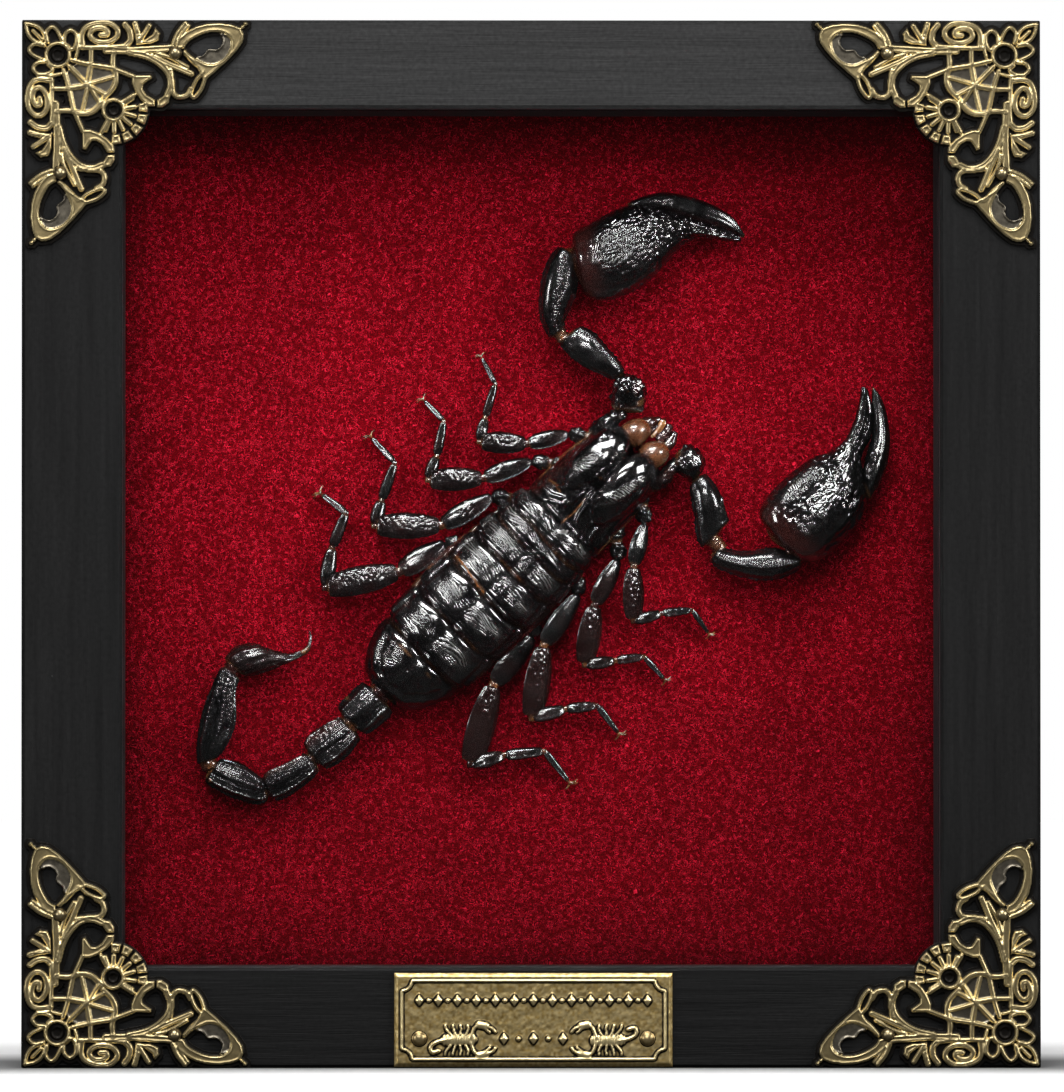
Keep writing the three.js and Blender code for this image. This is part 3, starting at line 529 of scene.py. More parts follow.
def add_velvet():
    """The velvet, stretched over its board: flat, with the slight unevenness of glued pile."""
    width = VELVET_HIGH.x - VELVET_LOW.x
    height = VELVET_HIGH.z - VELVET_LOW.z
    columns, rows = (int(size / VELVET_PITCH) + 1 for size in (width, height))
    across = np.linspace(VELVET_LOW.x, VELVET_HIGH.x, columns)
    up = np.linspace(VELVET_LOW.z, VELVET_HIGH.z, rows)
    x, z = np.meshgrid(across, up)
    flat = np.stack([x, np.zeros_like(x), z], axis=-1)
    wave = 0.12 * noise(flat, 9, 3) + 0.05 * noise(flat, 2.5, 4)
    points = []
    for y in (VELVET_LOW.y + 0.15 - 0.6 * wave, np.full_like(x, VELVET_HIGH.y)):
        points.append(np.stack([x, y, z], axis=-1).reshape(-1, 3))
    quads, rim = grid_faces(rows, columns)
    following, back = np.roll(rim, -1), rows * columns
    walls = np.stack([following, rim, back + rim, back + following], axis=-1)
    faces = np.vstack([quads, back + quads[:, ::-1], walls]).tolist()
    # Darker towards the bottom, and painted shade near every edge, where the frame's walls shade the velvet
    sides = np.minimum(x - VELVET_LOW.x, VELVET_HIGH.x - x)
    ends = np.minimum(z - VELVET_LOW.z, VELVET_HIGH.z - z)
    margin = np.maximum(np.minimum(sides, ends) - VELVET_HIDDEN, 0)
    low = step((z - VELVET_LOW.z) / height, 0.6, 0.02)
    darker_low_and_painted_edge_shade = (1 - 0.4 * low) * (1 - 0.5 * np.exp(-margin / 3))
    paint = np.tile(darker_low_and_painted_edge_shade.reshape(-1, 1), (2, 3))
    sheet = add_mesh("velvet", np.vstack(points) * MM, faces, red_velvet(), paint)
    place(sheet, "velvet", "velvet_sheet")
    return sheet


# Shell surfaces: rings between two edges, with relief and paint drawn on them

THIN, RUDDY, SATIN = 0, 1, 2  # channels of the paint


def curve(points, at):
    """Points of a smooth curve through the given ones, at places counted in points from the first."""
    p = np.asarray(points, float)
    p = np.vstack([2 * p[0] - p[1], p, 2 * p[-1] - p[-2]])
    k = np.clip(at.astype(int), 0, len(p) - 4)
    f = (at - k)[:, None]
    a, b, c, d = p[k], p[k + 1], p[k + 2], p[k + 3]
    square, cube = 2 * a - 5 * b + 4 * c - d, 3 * b - a - 3 * c + d
    return 0.5 * (2 * b + (c - a) * f + square * f ** 2 + cube * f ** 3)


class Skin:
    """A closed surface of rings. along is the distance from its first ring in mm, and turn goes round it,
    from 0 at its left edge over a quarter turn at the top."""

    def __init__(self, points, along, turn):
        self.points = points
        self.along = np.broadcast_to(along[:, None], points.shape[:2])
        self.turn = np.broadcast_to(turn[None, :], points.shape[:2])
        self.side = np.cos(self.turn)
        self.up = np.sin(self.turn)
        self.length = along[-1]
        self.height = np.zeros(points.shape[:2])
        self.paint = np.zeros(points.shape)
        self.folds = np.zeros((*points.shape[:2], 2))

    def lift(self, height):
        self.height = self.height + height

    def tint(self, channel, amount):
        self.paint[..., channel] = np.clip(np.maximum(self.paint[..., channel], amount), 0, 1)

    def crease(self, across, strength):
        """Fine wrinkles, drawn by the shell's material. across is the place in mm at right angles to them."""
        stronger = strength > self.folds[..., 1]
        self.folds[..., 0] = np.where(stronger, across, self.folds[..., 0])
        self.folds[..., 1] = np.where(stronger, strength, self.folds[..., 1])

    def finished(self):
        around = np.roll(self.points, -1, axis=1) - np.roll(self.points, 1, axis=1)
        ahead = np.gradient(self.points, axis=0)
        normal = np.cross(around, ahead)
        normal /= np.maximum(np.linalg.norm(normal, axis=-1, keepdims=True), 1e-9)
        done = self.points + normal * self.height[..., None]
        done[..., 2] = np.maximum(done[..., 2], 0.05)
        return done


def ring_turns(columns):
    """Turns round a ring, much closer together over the top than underneath."""
    top = np.linspace(0, math.pi, int(columns * 0.7), endpoint=False)
    under = np.linspace(math.pi, 2 * math.pi, int(columns * 0.12), endpoint=False)
    return np.concatenate([top, under])


def ring_places(length, spacing, caps):
    """Distances of the rings from the start, and how wide each is of its full size. The ends are rounded."""
    arc = np.radians(np.linspace(14, 90, 7)[:-1])
    first, last = caps
    middle = np.linspace(first, length - last, max(int((length - first - last) / spacing), 3))
    places = np.concatenate([first * (1 - np.cos(arc)), middle, length - last * (1 - np.cos(arc[::-1]))])
    sizes = np.concatenate([np.sin(arc), np.ones(len(middle)), np.sin(arc[::-1])])
    return places, sizes


def sweep(stations, spacing=0.24, columns=56, caps=(0.8, 0.8), square=2.2, lean=0.0):
    """Rings between two edges seen from above. Each station is x and y of the left edge and of the right one,
    the height of their middle over the velvet, and half their height. lean raises the left edge."""
    table = np.asarray(stations, float)
    dense = np.linspace(0, len(table) - 1, 30 * len(table))
    fine = curve(table, dense)
    middle = (fine[:, 0:2] + fine[:, 2:4]) / 2
    travelled = np.concatenate([[0], np.cumsum(np.linalg.norm(np.diff(middle, axis=0), axis=1))])
    places, sizes = ring_places(travelled[-1], spacing, caps)
    at = curve(table, np.interp(places, travelled, dense))
    turn = ring_turns(columns)
    power = 2 / square
    c = np.sign(np.cos(turn)) * np.abs(np.cos(turn)) ** power
    s = np.sign(np.sin(turn)) * np.abs(np.sin(turn)) ** power
    centre = (at[:, 0:2] + at[:, 2:4]) / 2
    half = (at[:, 0:2] - at[:, 2:4]) / 2 * sizes[:, None]
    ground = centre[:, None, :] + half[:, None, :] * c[None, :, None]
    width = np.linalg.norm(half, axis=1)
    z = at[:, 4][:, None] + (at[:, 5] * sizes)[:, None] * s[None, :] + lean * width[:, None] * c[None, :]
    points = np.concatenate([ground, z[..., None]], axis=-1)
    return Skin(points, places, turn)


def limb(stations, **options):
    """A sweep along a centre line. Each station is x, y, height, half width and half height."""
    stations = np.asarray(stations, float)
    ahead = np.gradient(stations[:, :2], axis=0)
    ahead /= np.linalg.norm(ahead, axis=1, keepdims=True)
    across = np.stack([-ahead[:, 1], ahead[:, 0]], axis=1) * stations[:, 3:4]
    centre = stations[:, :2]
    edges = np.column_stack([centre + across, centre - across, stations[:, 2], stations[:, 4]])
    return sweep(edges, **options)


def add_shell(name, skins, material, *nodes, slot="shell"):
    """One piece from closed surfaces, standing for the named nodes."""
    vertices, faces, paint, folds = [], [], [], []
    start = 0
    for skin in skins:
        points = skin.finished()
        rows, columns = points.shape[:2]
        index = start + np.arange(rows * columns).reshape(rows, columns)
        following = np.roll(index, -1, axis=1)
        quads = np.stack([index[:-1], following[:-1], following[1:], index[1:]], axis=-1).reshape(-1, 4)
        faces += quads.tolist()
        faces.append(index[0, ::-1].tolist())
        faces.append(index[-1].tolist())
        vertices.append(points.reshape(-1, 3))
        paint.append(skin.paint.reshape(-1, 3))
        folds.append(skin.folds.reshape(-1, 2))
        start += rows * columns
    piece = add_mesh(name, to_world(np.vstack(vertices)), faces, material, np.vstack(paint), np.vstack(folds))
    return place(piece, slot, *nodes)


# Reliefs

def wrinkles(points, across, along, seed):
    """Fine ridges, across mm apart, that run on for along mm. The first axis of points crosses them."""
    stretched = points / np.array([across, along, along])
    return 1 - 2 * np.abs(noise(stretched, 1.0, seed))


def network(points, size, seed):
    """Raised islands with narrow grooves between them."""
    nearest, second = cells(points, size, seed)
    return step(second - nearest, 0.02, 0.3)


def distance_to(x, y, line):
    """Distance of each place from a line through the given points."""
    best = np.full(x.shape, 1e9)
    for (ax, ay), (bx, by) in zip(line, line[1:]):
        dx, dy = bx - ax, by - ay
        f = np.clip(((x - ax) * dx + (y - ay) * dy) / (dx * dx + dy * dy), 0, 1)
        best = np.minimum(best, np.hypot(x - ax - f * dx, y - ay - f * dy))
    return best


def ridge(x, y, line, width):
    return bump(distance_to(x, y, line), 0, width)


def oval(x, y, at, radii, lean=0.0):
    """Distance from the middle of an oval, 1 on its rim. lean turns it, in degrees."""
    c, s = math.cos(math.radians(lean)), math.sin(math.radians(lean))
    dx, dy = x - at[0], y - at[1]
    return np.hypot((c * dx + s * dy) / radii[0], (-s * dx + c * dy) / radii[1])


def dome(r):
    return np.sqrt(np.clip(1 - r * r, 0, 1))


# Trunk

def trunk(stations, front, rear, spacing, columns):
    """The trunk's rings from front to rear. Each station is x, right edge, left edge and height."""
    stations = np.asarray(stations, float)
    places, sizes = ring_places(front - rear, spacing, (0.7, 0.7))
    x = front - places
    order = np.argsort(stations[:, 0])
    table = stations[order]
    fine = curve(table, np.linspace(0, len(table) - 1, 400))
    right, left, height = (np.interp(x, fine[:, 0], fine[:, k]) for k in (1, 2, 3))
    turn = ring_turns(columns)
    # travel is backwards, so the left edge of the rings is the animal's right one
    side = -np.cos(turn)
    s = np.sin(turn)
    middle, half = (left + right) / 2, (left - right) / 2 * sizes
    y = middle[:, None] + half[:, None] * side[None, :]
    arch = np.where(s > 0, 0.24 + 0.76 * np.abs(s) ** 0.75, 0.24 - 0.2 * np.abs(s) ** 0.5)
    lift = 0.5 + 0.5 * sizes
    z = (height * lift)[:, None] * arch[None, :]
    points = np.stack([np.broadcast_to(x[:, None], y.shape), y, z], axis=-1)
    return Skin(points, places, turn)


# Abdomen: seven plates, each with its rear rim over the next plate

TERGITE_REARS = (34.5, 31.7, 27.6, 22.2, 15.6, 9.2)
ABDOMEN_FRONT, ABDOMEN_REAR = 37.6, 1.2
MIDLINE = 1.1  # y of the dark line down the back
ABDOMEN = [
    (1.2, -1.7, 3.4, 4.8), (3, -3.9, 5.6, 6.3), (5.2, -5.2, 7, 7), (9.2, -6.5, 8.3, 7.9),
    (15.6, -7.3, 8.8, 8.4), (22.2, -7.5, 8.9, 8.6), (27.6, -7.3, 8.8, 8.4), (31.7, -7, 8.6, 8),
    (34.5, -6.7, 8.4, 7.7), (37.6, -6.2, 8.1, 7.1),
]
LAST_PLATE = [(8, -5.4), (5.2, -4.2), (2.9, -2), (2.2, 1), (2.9, 3.6), (4.8, 5.6), (7.8, 6.8)]


def build_abdomen(material):
    skin = trunk(ABDOMEN, ABDOMEN_FRONT, ABDOMEN_REAR, 0.15, 300)
    x, y = skin.points[..., 0], skin.points[..., 1]
    above = step(skin.up, -0.1, 0.25)
    flat = np.stack([x, y, np.zeros_like(x)], axis=-1)
    reach = np.abs(y - MIDLINE) / 7.6
    # The rims curl forward at their ends
    wavy = x - 1.3 * np.clip(reach - 0.72, 0, 1) ** 1.5 * 4 + 0.22 * noise(flat / [1, 3, 1], 1.0, 5)
    edges = (ABDOMEN_FRONT + 0.6, *TERGITE_REARS, ABDOMEN_REAR - 0.5)
    relief = np.zeros_like(x)
    for fore, rear in zip(edges, edges[1:]):
        length = fore - rear
        f = (wavy - rear) / length
        here = (f >= 0) & (f < 1)
        swell = 0.8 * (1 - np.abs(2 * np.clip(f, 0, 1) - 1) ** 5) + 0.25 * (1 - f)
        mm = wavy - rear
        rims = 0.16 * bump(mm, 0.2, 0.15) - 0.2 * bump(mm, 0.52, 0.15) + 0.12 * bump(mm, 0.85, 0.16)
        relief = np.where(here, swell + rims - 0.5 * bump(length - mm, 0.1, 0.35), relief)
        # Curled wrinkles over two shiny fields
        for middle, half in ((MIDLINE + 3.7, 1.9), (MIDLINE - 3.4, 1.3)):
            line = [((fore + rear) / 2, middle - half), ((fore + rear) / 2, middle + half)]
            d = distance_to(wavy, y + 0.4 * noise(flat, 1.4, 8), line)
            inside = here * step(d, 2.2, 0.9) * above * step(mm, 0.9, 1.4) * step(x, 7, 9)
            curled = wavy + 0.05 * (y - middle) ** 2 + 0.5 * noise(flat / [1, 2.2, 1], 1.5, 9)
            skin.crease(curled, 0.7 * inside)
            shine = (0.35 + 0.65 * bump(f, 0.62, 0.25)) * step(noise(flat, 2.0, 10), -0.5, 0.3)
            skin.tint(SATIN, inside * shine)
            relief += 0.03 * inside * noise(flat / [0.5, 2.2, 1], 1.0, 11)
    relief += 0.03 * rough(flat, 1.8, 22) * step(np.abs(y - MIDLINE), 1, 2)
    relief -= 0.3 * bump(np.abs(y - 0.8), 6.9, 0.28) * step(x, 8, 11)
    relief -= 0.4 * bump(y, MIDLINE, 1.6) * step(x, 3, 8)
    dots = grains(flat, 0.85, 31) * bump(y, MIDLINE - 0.5, 1.7) * step(noise(flat, 2.2, 33), -0.1, 0.5)
    last = step(x, 8.2, 6.8)
    relief += 0.12 * dots + 0.12 * last * grains(flat, 0.8, 35) * step(noise(flat, 2.5, 36), 0, 0.5)
    # The last plate has a rim, an uneven back and wrinkles towards its left front
    edge = distance_to(x, y, LAST_PLATE)
    relief += last * (0.2 * bump(edge, 0.1, 0.2) - 0.24 * bump(edge, 0.6, 0.25) + 0.16 * rough(flat, 1.5, 38))
    wrinkled = last * step(oval(x, y, (6, 4.2), (2.1, 2.4)), 1.1, 0.6)
    skin.crease(x + 0.5 * y + 0.5 * noise(flat / [1, 2.2, 1], 1.5, 37), 0.8 * wrinkled)
    skin.tint(SATIN, 0.7 * wrinkled * step(noise(flat, 1.6, 39), -0.4, 0.4))
    skin.lift(above * relief)
    rim = sum(bump(wavy, rear - 0.12, 0.2) for rear in TERGITE_REARS)
    tan_patch = step(noise(flat, 3.4, 41), -0.25, 0.4)
    skin.tint(THIN, above * rim ** 3 * tan_patch * 0.45)
    skin.tint(THIN, 0.6 * bump(x, 7.8, 0.16) * step(np.abs(y - 1), 3.6, 2.6) * tan_patch)
    skin.tint(THIN, bump(distance_to(x, y, [(22.2, 1.2), (22.5, 3.6), (22.9, 5.6), (23, 7.6)]), 0, 0.2))
    skin.tint(RUDDY, (1 - above) + 0.5 * step(reach, 0.95, 1.1) + 0.4 * rim)
    add_shell("abdomen_shell", [skin], material, "abdomen")


SIDE_FOLDS = (
    [
        (12, 8.2, 3, 0.3, 1.2), (16, 9, 3.2, 0.5, 1.6), (22, 9.3, 3.4, 0.55, 1.7), (28, 9, 3.2, 0.4, 1.5),
        (33, 8.5, 3, 0.3, 1.1),
    ],
    [
        (10, -6, 3, 0.3, 1.2), (16, -7.2, 3.2, 0.4, 1.5), (23, -7.6, 3.4, 0.4, 1.6),
        (29, -7.3, 3.2, 0.4, 1.4), (35, -6.6, 3, 0.3, 1),
    ],
)


def side_skins():
    """Folds of skin along the sides, between the back plates and the belly. The left one shows tan."""
    left, right = (limb(stations, columns=24, spacing=0.2) for stations in SIDE_FOLDS)
    for skin, tan in ((left, 0.3), (right, 0.0)):
        skin.lift(0.12 * wrinkles(skin.points, 0.7, 3, 51) + 0.06 * rough(skin.points, 1.1, 52))
        skin.tint(THIN, tan * (0.6 + 0.7 * noise(skin.points, 2.6, 53)))
        skin.tint(RUDDY, 1)
    return [left, right]


# Carapace: two lobes and a groove between them, with the middle eyes in it

CARAPACE = [
    (37.7, -6.5, 7.9, 6.6), (40.2, -6.6, 8.2, 7), (43.5, -6.4, 8.2, 7.5), (47.5, -6.1, 8.1, 7.9),
    (50.8, -5.6, 7.4, 7.7), (52.8, -4.8, 6.6, 6.9), (54.2, -3.7, 5.8, 5.5),
]
LEFT_LOBE = {"at": (48.4, 4.1), "radii": (6.5, 2.75), "lean": -2}
RIGHT_LOBE = {"at": (47.9, -1.9), "radii": (6.7, 2.95), "lean": 5}


def build_carapace(material):
    skin = trunk(CARAPACE, 54.4, 37.7, 0.135, 300)
    x, y = skin.points[..., 0], skin.points[..., 1]
    above = step(skin.up, -0.1, 0.25)
    # The front edge is notched between the lobes
    reach = step(x, 49.5, 54.4)
    notch = np.exp(-((y - GROOVE_Y) / 1.1) ** 2)
    skin.points[..., 0] += reach * (0.5 - 2.0 * notch)
    x = skin.points[..., 0]
    flat = np.stack([x, y, np.zeros_like(x)], axis=-1)
    relief = 0.0 * x
    for lobe in (LEFT_LOBE, RIGHT_LOBE):
        r = oval(x, y, **lobe)
        relief = np.maximum(relief, 1.5 * np.clip(1 - r ** 3, 0, 1) ** 0.6)
    relief -= 0.55 * bump(y, GROOVE_Y, 0.35) * step(x, 43.6, 45)
    # Ridges behind the lobes, and the collar at the rear
    rear_ridges = [
        [(42.6, 0.1), (40.6, -0.3), (39.2, -1.1), (38.4, -2.2)],
        [(43.2, 1.9), (41.4, 1.8), (39.8, 2.9), (38.6, 5)],
        [(40.6, 3.4), (39.8, 4.8), (39.6, 6.4)],
        [(42.2, 4), (41, 5.2), (40.6, 6.8)],
        [(41, -3.6), (39.4, -3.9), (38.4, -5)],
    ]
    for line in rear_ridges:
        relief += 0.38 * ridge(x, y, line, 0.34)
    relief += 0.3 * bump(x, 38.15, 0.3) - 0.2 * bump(x, 38.8, 0.25)
    edge_lines = [
        [(42.7, 1.6), (45, 2.1), (47.6, 2.05), (50.8, 1.5), (52.4, 1.3)],
        [(42.6, 0.4), (44, 0.9), (45.6, 0.4), (46.3, 0.2)],
        [(46.4, 0.3), (48, 0.75), (51, 1.1), (52.4, 1.1)],
    ]
    for line in edge_lines:
        relief += 0.2 * ridge(x, y, line, 0.18)
    eye = bump(np.hypot(x - 47.2, y - 1.4), 0, 0.5)
    relief += 0.75 * eye
    # Wrinkled crests along the lobes
    left_crest = step(oval(x, y, (46.6, 4.3), (3.4, 1.2), -12), 1, 0.4)
    right_crest = step(oval(x, y, (47.6, -1.9), (4.6, 1.0), -10), 1, 0.4)
    bend = flat + 0.3 * noise(flat, 1.2, 61)[..., None]
    relief += 0.14 * (left_crest + right_crest) * wrinkles(bend, 0.8, 1.3, 62)
    skin.crease(bend[..., 0] + 0.6 * bend[..., 1], 0.7 * np.maximum(left_crest, right_crest))
    skin.tint(SATIN, 0.85 * np.maximum(left_crest, right_crest))
    relief += 0.16 * (left_crest + right_crest) * (0.5 + 0.5 * noise(flat, 0.8, 63))
    crescent = ridge(x, y, [(43.4, 0.3), (44.8, -0.3), (46.2, -1.5)], 0.5)
    relief += 0.35 * crescent
    for at, radii in (((49.6, -2.3), (0.8, 0.55)), ((50.7, -2.9), (0.75, 0.5)), ((48.3, -2.4), (0.6, 0.45))):
        relief += 0.28 * dome(oval(x, y, at, radii, 30))
    # Side eyes on the left lobe, and the granules at the front
    eyes = dome(oval(x, y, (51.6, 5.2), (1.35, 0.95), -10))
    relief += 0.4 * eyes + 0.16 * step(eyes, 0, 0.2) * grains(flat, 0.7, 64)
    front_grains = step(x, 51.8, 53) * grains(flat, 0.62, 65)
    relief += 0.1 * front_grains
    relief += 0.16 * grains(flat, 1.0, 66) * step(y, 6.6, 7.4) * step(noise(flat, 2, 67), -0.2, 0.3)
    relief += 0.03 * rough(flat, 1.3, 68)
    relief += 0.14 * bump(y, GROOVE_Y + 0.9, 0.3) * bump(x, 50.8, 1.4) * (1 + np.sin(2 * math.pi * x / 0.7))
    skin.lift(above * relief)
    thread = distance_to(x, y, [(38.2, 0.7), (40.4, 0.5), (43, 0.9)])
    skin.tint(THIN, 0.7 * bump(thread, 0, 0.1))
    skin.tint(THIN, 0.5 * bump(distance_to(x, y, [(41, 4.2), (41.4, 5.4), (41.1, 6.6)]), 0, 0.14))
    skin.tint(THIN, 0.9 * bump(np.hypot(x - 46.9, y - 1.43), 0, 0.2))
    margins = [
        [(40.4, 7.9), (42.6, 8), (45.5, 8), (50.2, 7.4)],
        [(39, -6.4), (42, -6.15), (45, -6.2), (48, -6)],
    ]
    for line in margins:
        skin.tint(THIN, 0.6 * ridge(x, y, line, 0.12) * above)
    outside = 1 - np.clip(sum(step(oval(x, y, **lobe), 1.05, 0.9) for lobe in (LEFT_LOBE, RIGHT_LOBE)), 0, 1)
    skin.tint(RUDDY, 0.6 * outside * step(y, 5.6, 6.8) + (1 - above))
    add_shell("carapace_shell", [skin], material, "carapace")


# Tail: the stations of each segment, from the body outwards

TAIL = [
    [
        (0.2, -2.1, 0.2, 3.7, 2.8, 2.2), (-0.9, -2.6, -1.3, 3.95, 3, 2.6), (-2.8, -2.5, -3.2, 3.95, 3, 2.7),
        (-4.6, -2.3, -4.9, 3.8, 3, 2.6), (-5.7, -1.4, -6, 2.9, 2.9, 2.1),
    ],
    [
        (-6, -1.7, -6.2, 2.4, 2.8, 1.9), (-8.4, -2.4, -8, 3.1, 3, 2.4), (-10.6, -2.4, -10.2, 3.5, 3, 2.5),
        (-12.3, -2.1, -12.1, 3.7, 2.9, 2.5), (-13.4, -1.2, -13.6, 2.5, 2.8, 2),
    ],
    [
        (-13.7, -0.8, -13.8, 2.2, 2.7, 1.8), (-15.5, -1.3, -15, 2.6, 2.8, 2.3),
        (-18, -1.1, -17.2, 3.2, 2.8, 2.4), (-21.2, -0.4, -20.2, 4.2, 2.7, 2.3),
        (-22.2, 0.7, -21.8, 2.8, 2.6, 1.8),
    ],
    [
        (-22.4, 0.9, -21.2, 3.2, 2.6, 1.7), (-24.4, 1.7, -21.5, 4.8, 2.7, 2.2),
        (-26.2, 4.6, -22, 7.3, 2.7, 2.3), (-27.4, 8.1, -23.2, 9.5, 2.6, 2.2),
        (-27.5, 10, -24.4, 10.4, 2.5, 1.8),
    ],
    [
        (-26.8, 11.8, -24.4, 10.9, 2.4, 1.6), (-25.4, 13.6, -21.8, 11.3, 2.6, 2.2),
        (-22.5, 16.1, -19, 12.4, 2.6, 2.3), (-19.4, 18, -17, 14.1, 2.6, 2.2),
        (-16, 19.4, -15.2, 16.2, 2.5, 2), (-13.7, 20.3, -13.1, 17.4, 2.4, 1.6),
    ],
]
KEEL_TURNS = (0.1, 0.3, 0.52, 0.72, 0.92)  # in half turns from the left edge
TAIL_SHINE = (  # bands that shine on each segment: where, in half turns, how wide and how much
    [(0.25, 0.08, 0.25), (0.6, 0.06, 0.15)],
    [(0.38, 0.1, 0.35)],
    [(0.62, 0.1, 0.35), (0.25, 0.1, 0.1)],
    [(0.35, 0.1, 0.08)],
    [(0.72, 0.08, 0.35)],
)


def tail_relief(skin, seed, shine, hollow):
    p = skin.points
    half_turn = skin.turn / math.pi
    ends = step(skin.along, 0.2, 1) * step(skin.length - skin.along, 0.2, 1)
    wobble = half_turn + 0.02 * noise(p, 2, seed)
    for k, keel in enumerate(KEEL_TURNS):
        line = bump(wobble, keel, 0.035)
        beads = 0.5 + 0.5 * np.sin(2 * math.pi * skin.along / 0.62 + 2 * k)
        skin.lift(ends * line * (0.2 + 0.14 * beads))
    skin.lift(0.05 * np.sin(2 * math.pi * (wobble * 17 + 0.35 * noise(p, 1.6, seed + 1))))
    patches = step(noise(p, 2, seed + 4), 0, 0.5)
    skin.lift(0.05 * rough(p, 1.1, seed + 2) + 0.12 * grains(p, 0.95, seed + 3) * patches)
    skin.lift(0.16 * (bump(skin.along, 0.55, 0.22) + bump(skin.length - skin.along, 0.6, 0.25)))
    if hollow:
        dip = bump(half_turn, hollow, 0.13) * ends
        skin.lift(-0.35 * dip)
        skin.tint(RUDDY, dip)
    for turn, width, amount in shine:
        band = bump(half_turn, turn, width) * ends
        skin.tint(SATIN, amount * band * (0.55 + 0.45 * noise(p, 1.5, seed + 8)))
        skin.crease(half_turn * 9 + 0.2 * noise(p, 1.2, seed + 9), band * (amount > 0.3))
    edge = bump(skin.along, 0.1, 0.25) + bump(skin.length - skin.along, 0.1, 0.25)
    skin.tint(THIN, 0.6 * edge * step(noise(p, 1.4, seed + 5), -0.1, 0.4))
    skin.tint(THIN, 0.5 * bump(noise(p, 1.8, seed + 6), 0.9, 0.1))
    skin.tint(RUDDY, step(half_turn, 1.0, 1.1))


# Soft skin between the segments: its two ends and half its width
TAIL_NECKS = (
    ((1.8, 0.9), (-1, 0.9), 2.0),
    ((-5, 0.8), (-7.2, 0.8), 1.7),
    ((-12.8, 0.8), (-14.6, 0.8), 1.3),
    ((-20.8, 1.6), (-23, 3), 1.3),
    ((-26, 9.8), (-25, 12.4), 1.3),
    ((-14.6, 18.4), (-11.6, 19.6), 1.3),
)


def build_tail(material):
    hollows = (None, 0.8, 0.85, None, None)
    for number, (edges, hollow, shine) in enumerate(zip(TAIL, hollows, TAIL_SHINE), start=1):
        skin = sweep(edges, spacing=0.18, columns=96, caps=(0.5, 0.5), square=2.5)
        tail_relief(skin, 100 + 10 * number, shine, hollow)
        add_shell(f"tail_{number}", [skin], material, f"tail_segment_{number}")
    necks = []
    for a, b, half in TAIL_NECKS:
        middle = ((a[0] + b[0]) / 2, (a[1] + b[1]) / 2)
        ends = [(*end, 2.5, half, half * 0.9) for end in (a, b)]
        neck = limb([ends[0], (*middle, 2.5, half, half), ends[1]], columns=32)
        neck.lift(0.1 * np.sin(2 * math.pi * neck.along / 0.55))
        neck.tint(THIN, 0.15 + 0.6 * noise(neck.points, 1.5, 171))
        neck.tint(RUDDY, 1)
        necks.append(neck)
    return necks


def build_telson(material):
    vesicle = sweep(
        [
            (-13.4, 20.2, -12.8, 17.9, 2.3, 1.2), (-12.4, 21, -12.2, 16.6, 2.5, 1.9),
            (-10.4, 21, -11, 15.6, 2.7, 2.3), (-9.1, 20.3, -9.6, 14.9, 2.7, 2.4),
            (-7.9, 19.2, -8, 14.4, 2.6, 2.3), (-6.9, 17.2, -6.6, 13.9, 2.5, 1.8),
            (-5.6, 15, -5.4, 13.5, 2.3, 1.1), (-4.7, 14.2, -4.6, 13.2, 2.1, 0.7),
            (-3.6, 13.75, -3.9, 13.1, 2, 0.4),
        ],
        spacing=0.18, columns=80, caps=(0.7, 0.2),
    )
    p = vesicle.points
    vesicle.lift(0.06 * np.sin(2 * math.pi * (vesicle.turn * 2.2 + 0.3 * noise(p, 2, 181))))
    vesicle.lift(0.08 * rough(p, 1.2, 182) + 0.12 * grains(p, 1.3, 183) * step(noise(p, 3, 184), 0.1, 0.5))
    vesicle.tint(RUDDY, 0.3 + 0.4 * noise(p, 3, 185))
    vesicle.tint(SATIN, 0.4 * bump(vesicle.turn / math.pi, 0.45, 0.2) * step(noise(p, 1.2, 186), -0.4, 0.4))
    vesicle.tint(THIN, 0.5 * bump(vesicle.along, 0.3, 0.3))
    sting = limb(
        [(-4, 13.45, 2, 0.5, 0.5), (-2.9, 13.3, 1.9, 0.42, 0.42), (-1.9, 13.75, 1.8, 0.3, 0.3),
         (-1.1, 14.4, 1.7, 0.2, 0.2), (-0.75, 15.1, 1.65, 0.05, 0.05)], columns=24, caps=(0.2, 0.1),
    )
    sting.tint(THIN, 0.4 * step(sting.along, 2.2, 0.2))
    sting.tint(RUDDY, 1)
    add_shell("telson_shell", [vesicle, sting], material, "telson")


# Chelicerae: two coppery bulbs with dark fingers

CHELICERAE = {
    "left": {
        "bulb": [
            (53.6, 4.7, 53.4, 1.5, 3.9, 2.2), (54.6, 5.1, 54.3, 1, 4.1, 2.6),
            (56, 4.9, 55.8, 0.9, 4.1, 2.6), (57.2, 4.2, 57.2, 1.2, 3.9, 2.1), (58.1, 3, 58, 1.9, 3.6, 1.2),
        ],
        "fingers": [
            [(57, 2.9, 3.6, 1.1, 1.4), (58.4, 2.3, 3.4, 0.9, 1.1), (59.8, 1.7, 3, 0.4, 0.5)],
            [(57, 1.5, 3.2, 0.7, 0.9), (58.6, 1.1, 3, 0.6, 0.7), (60.2, 1.2, 2.8, 0.3, 0.4)],
        ],
    },
    "right": {
        "bulb": [
            (53.4, 0.3, 53.6, -2.9, 3.9, 2.2), (54.3, 0.9, 54.3, -3.4, 4.1, 2.6),
            (55.6, 0.7, 55.8, -3.5, 4.1, 2.6), (56.8, 0, 57, -3, 3.9, 2.1),
            (57.7, -0.9, 57.8, -2, 3.6, 1.2),
        ],
        "fingers": [
            [(57, -0.4, 3.5, 1, 1.3), (58.6, -0.2, 3.3, 0.9, 1.1), (60.3, 0, 3, 0.5, 0.6)],
            [(57, -1.8, 3.3, 1, 1.2), (58.6, -1.7, 3.1, 0.9, 1), (60.1, -1.2, 2.9, 0.4, 0.5)],
        ],
    },
}


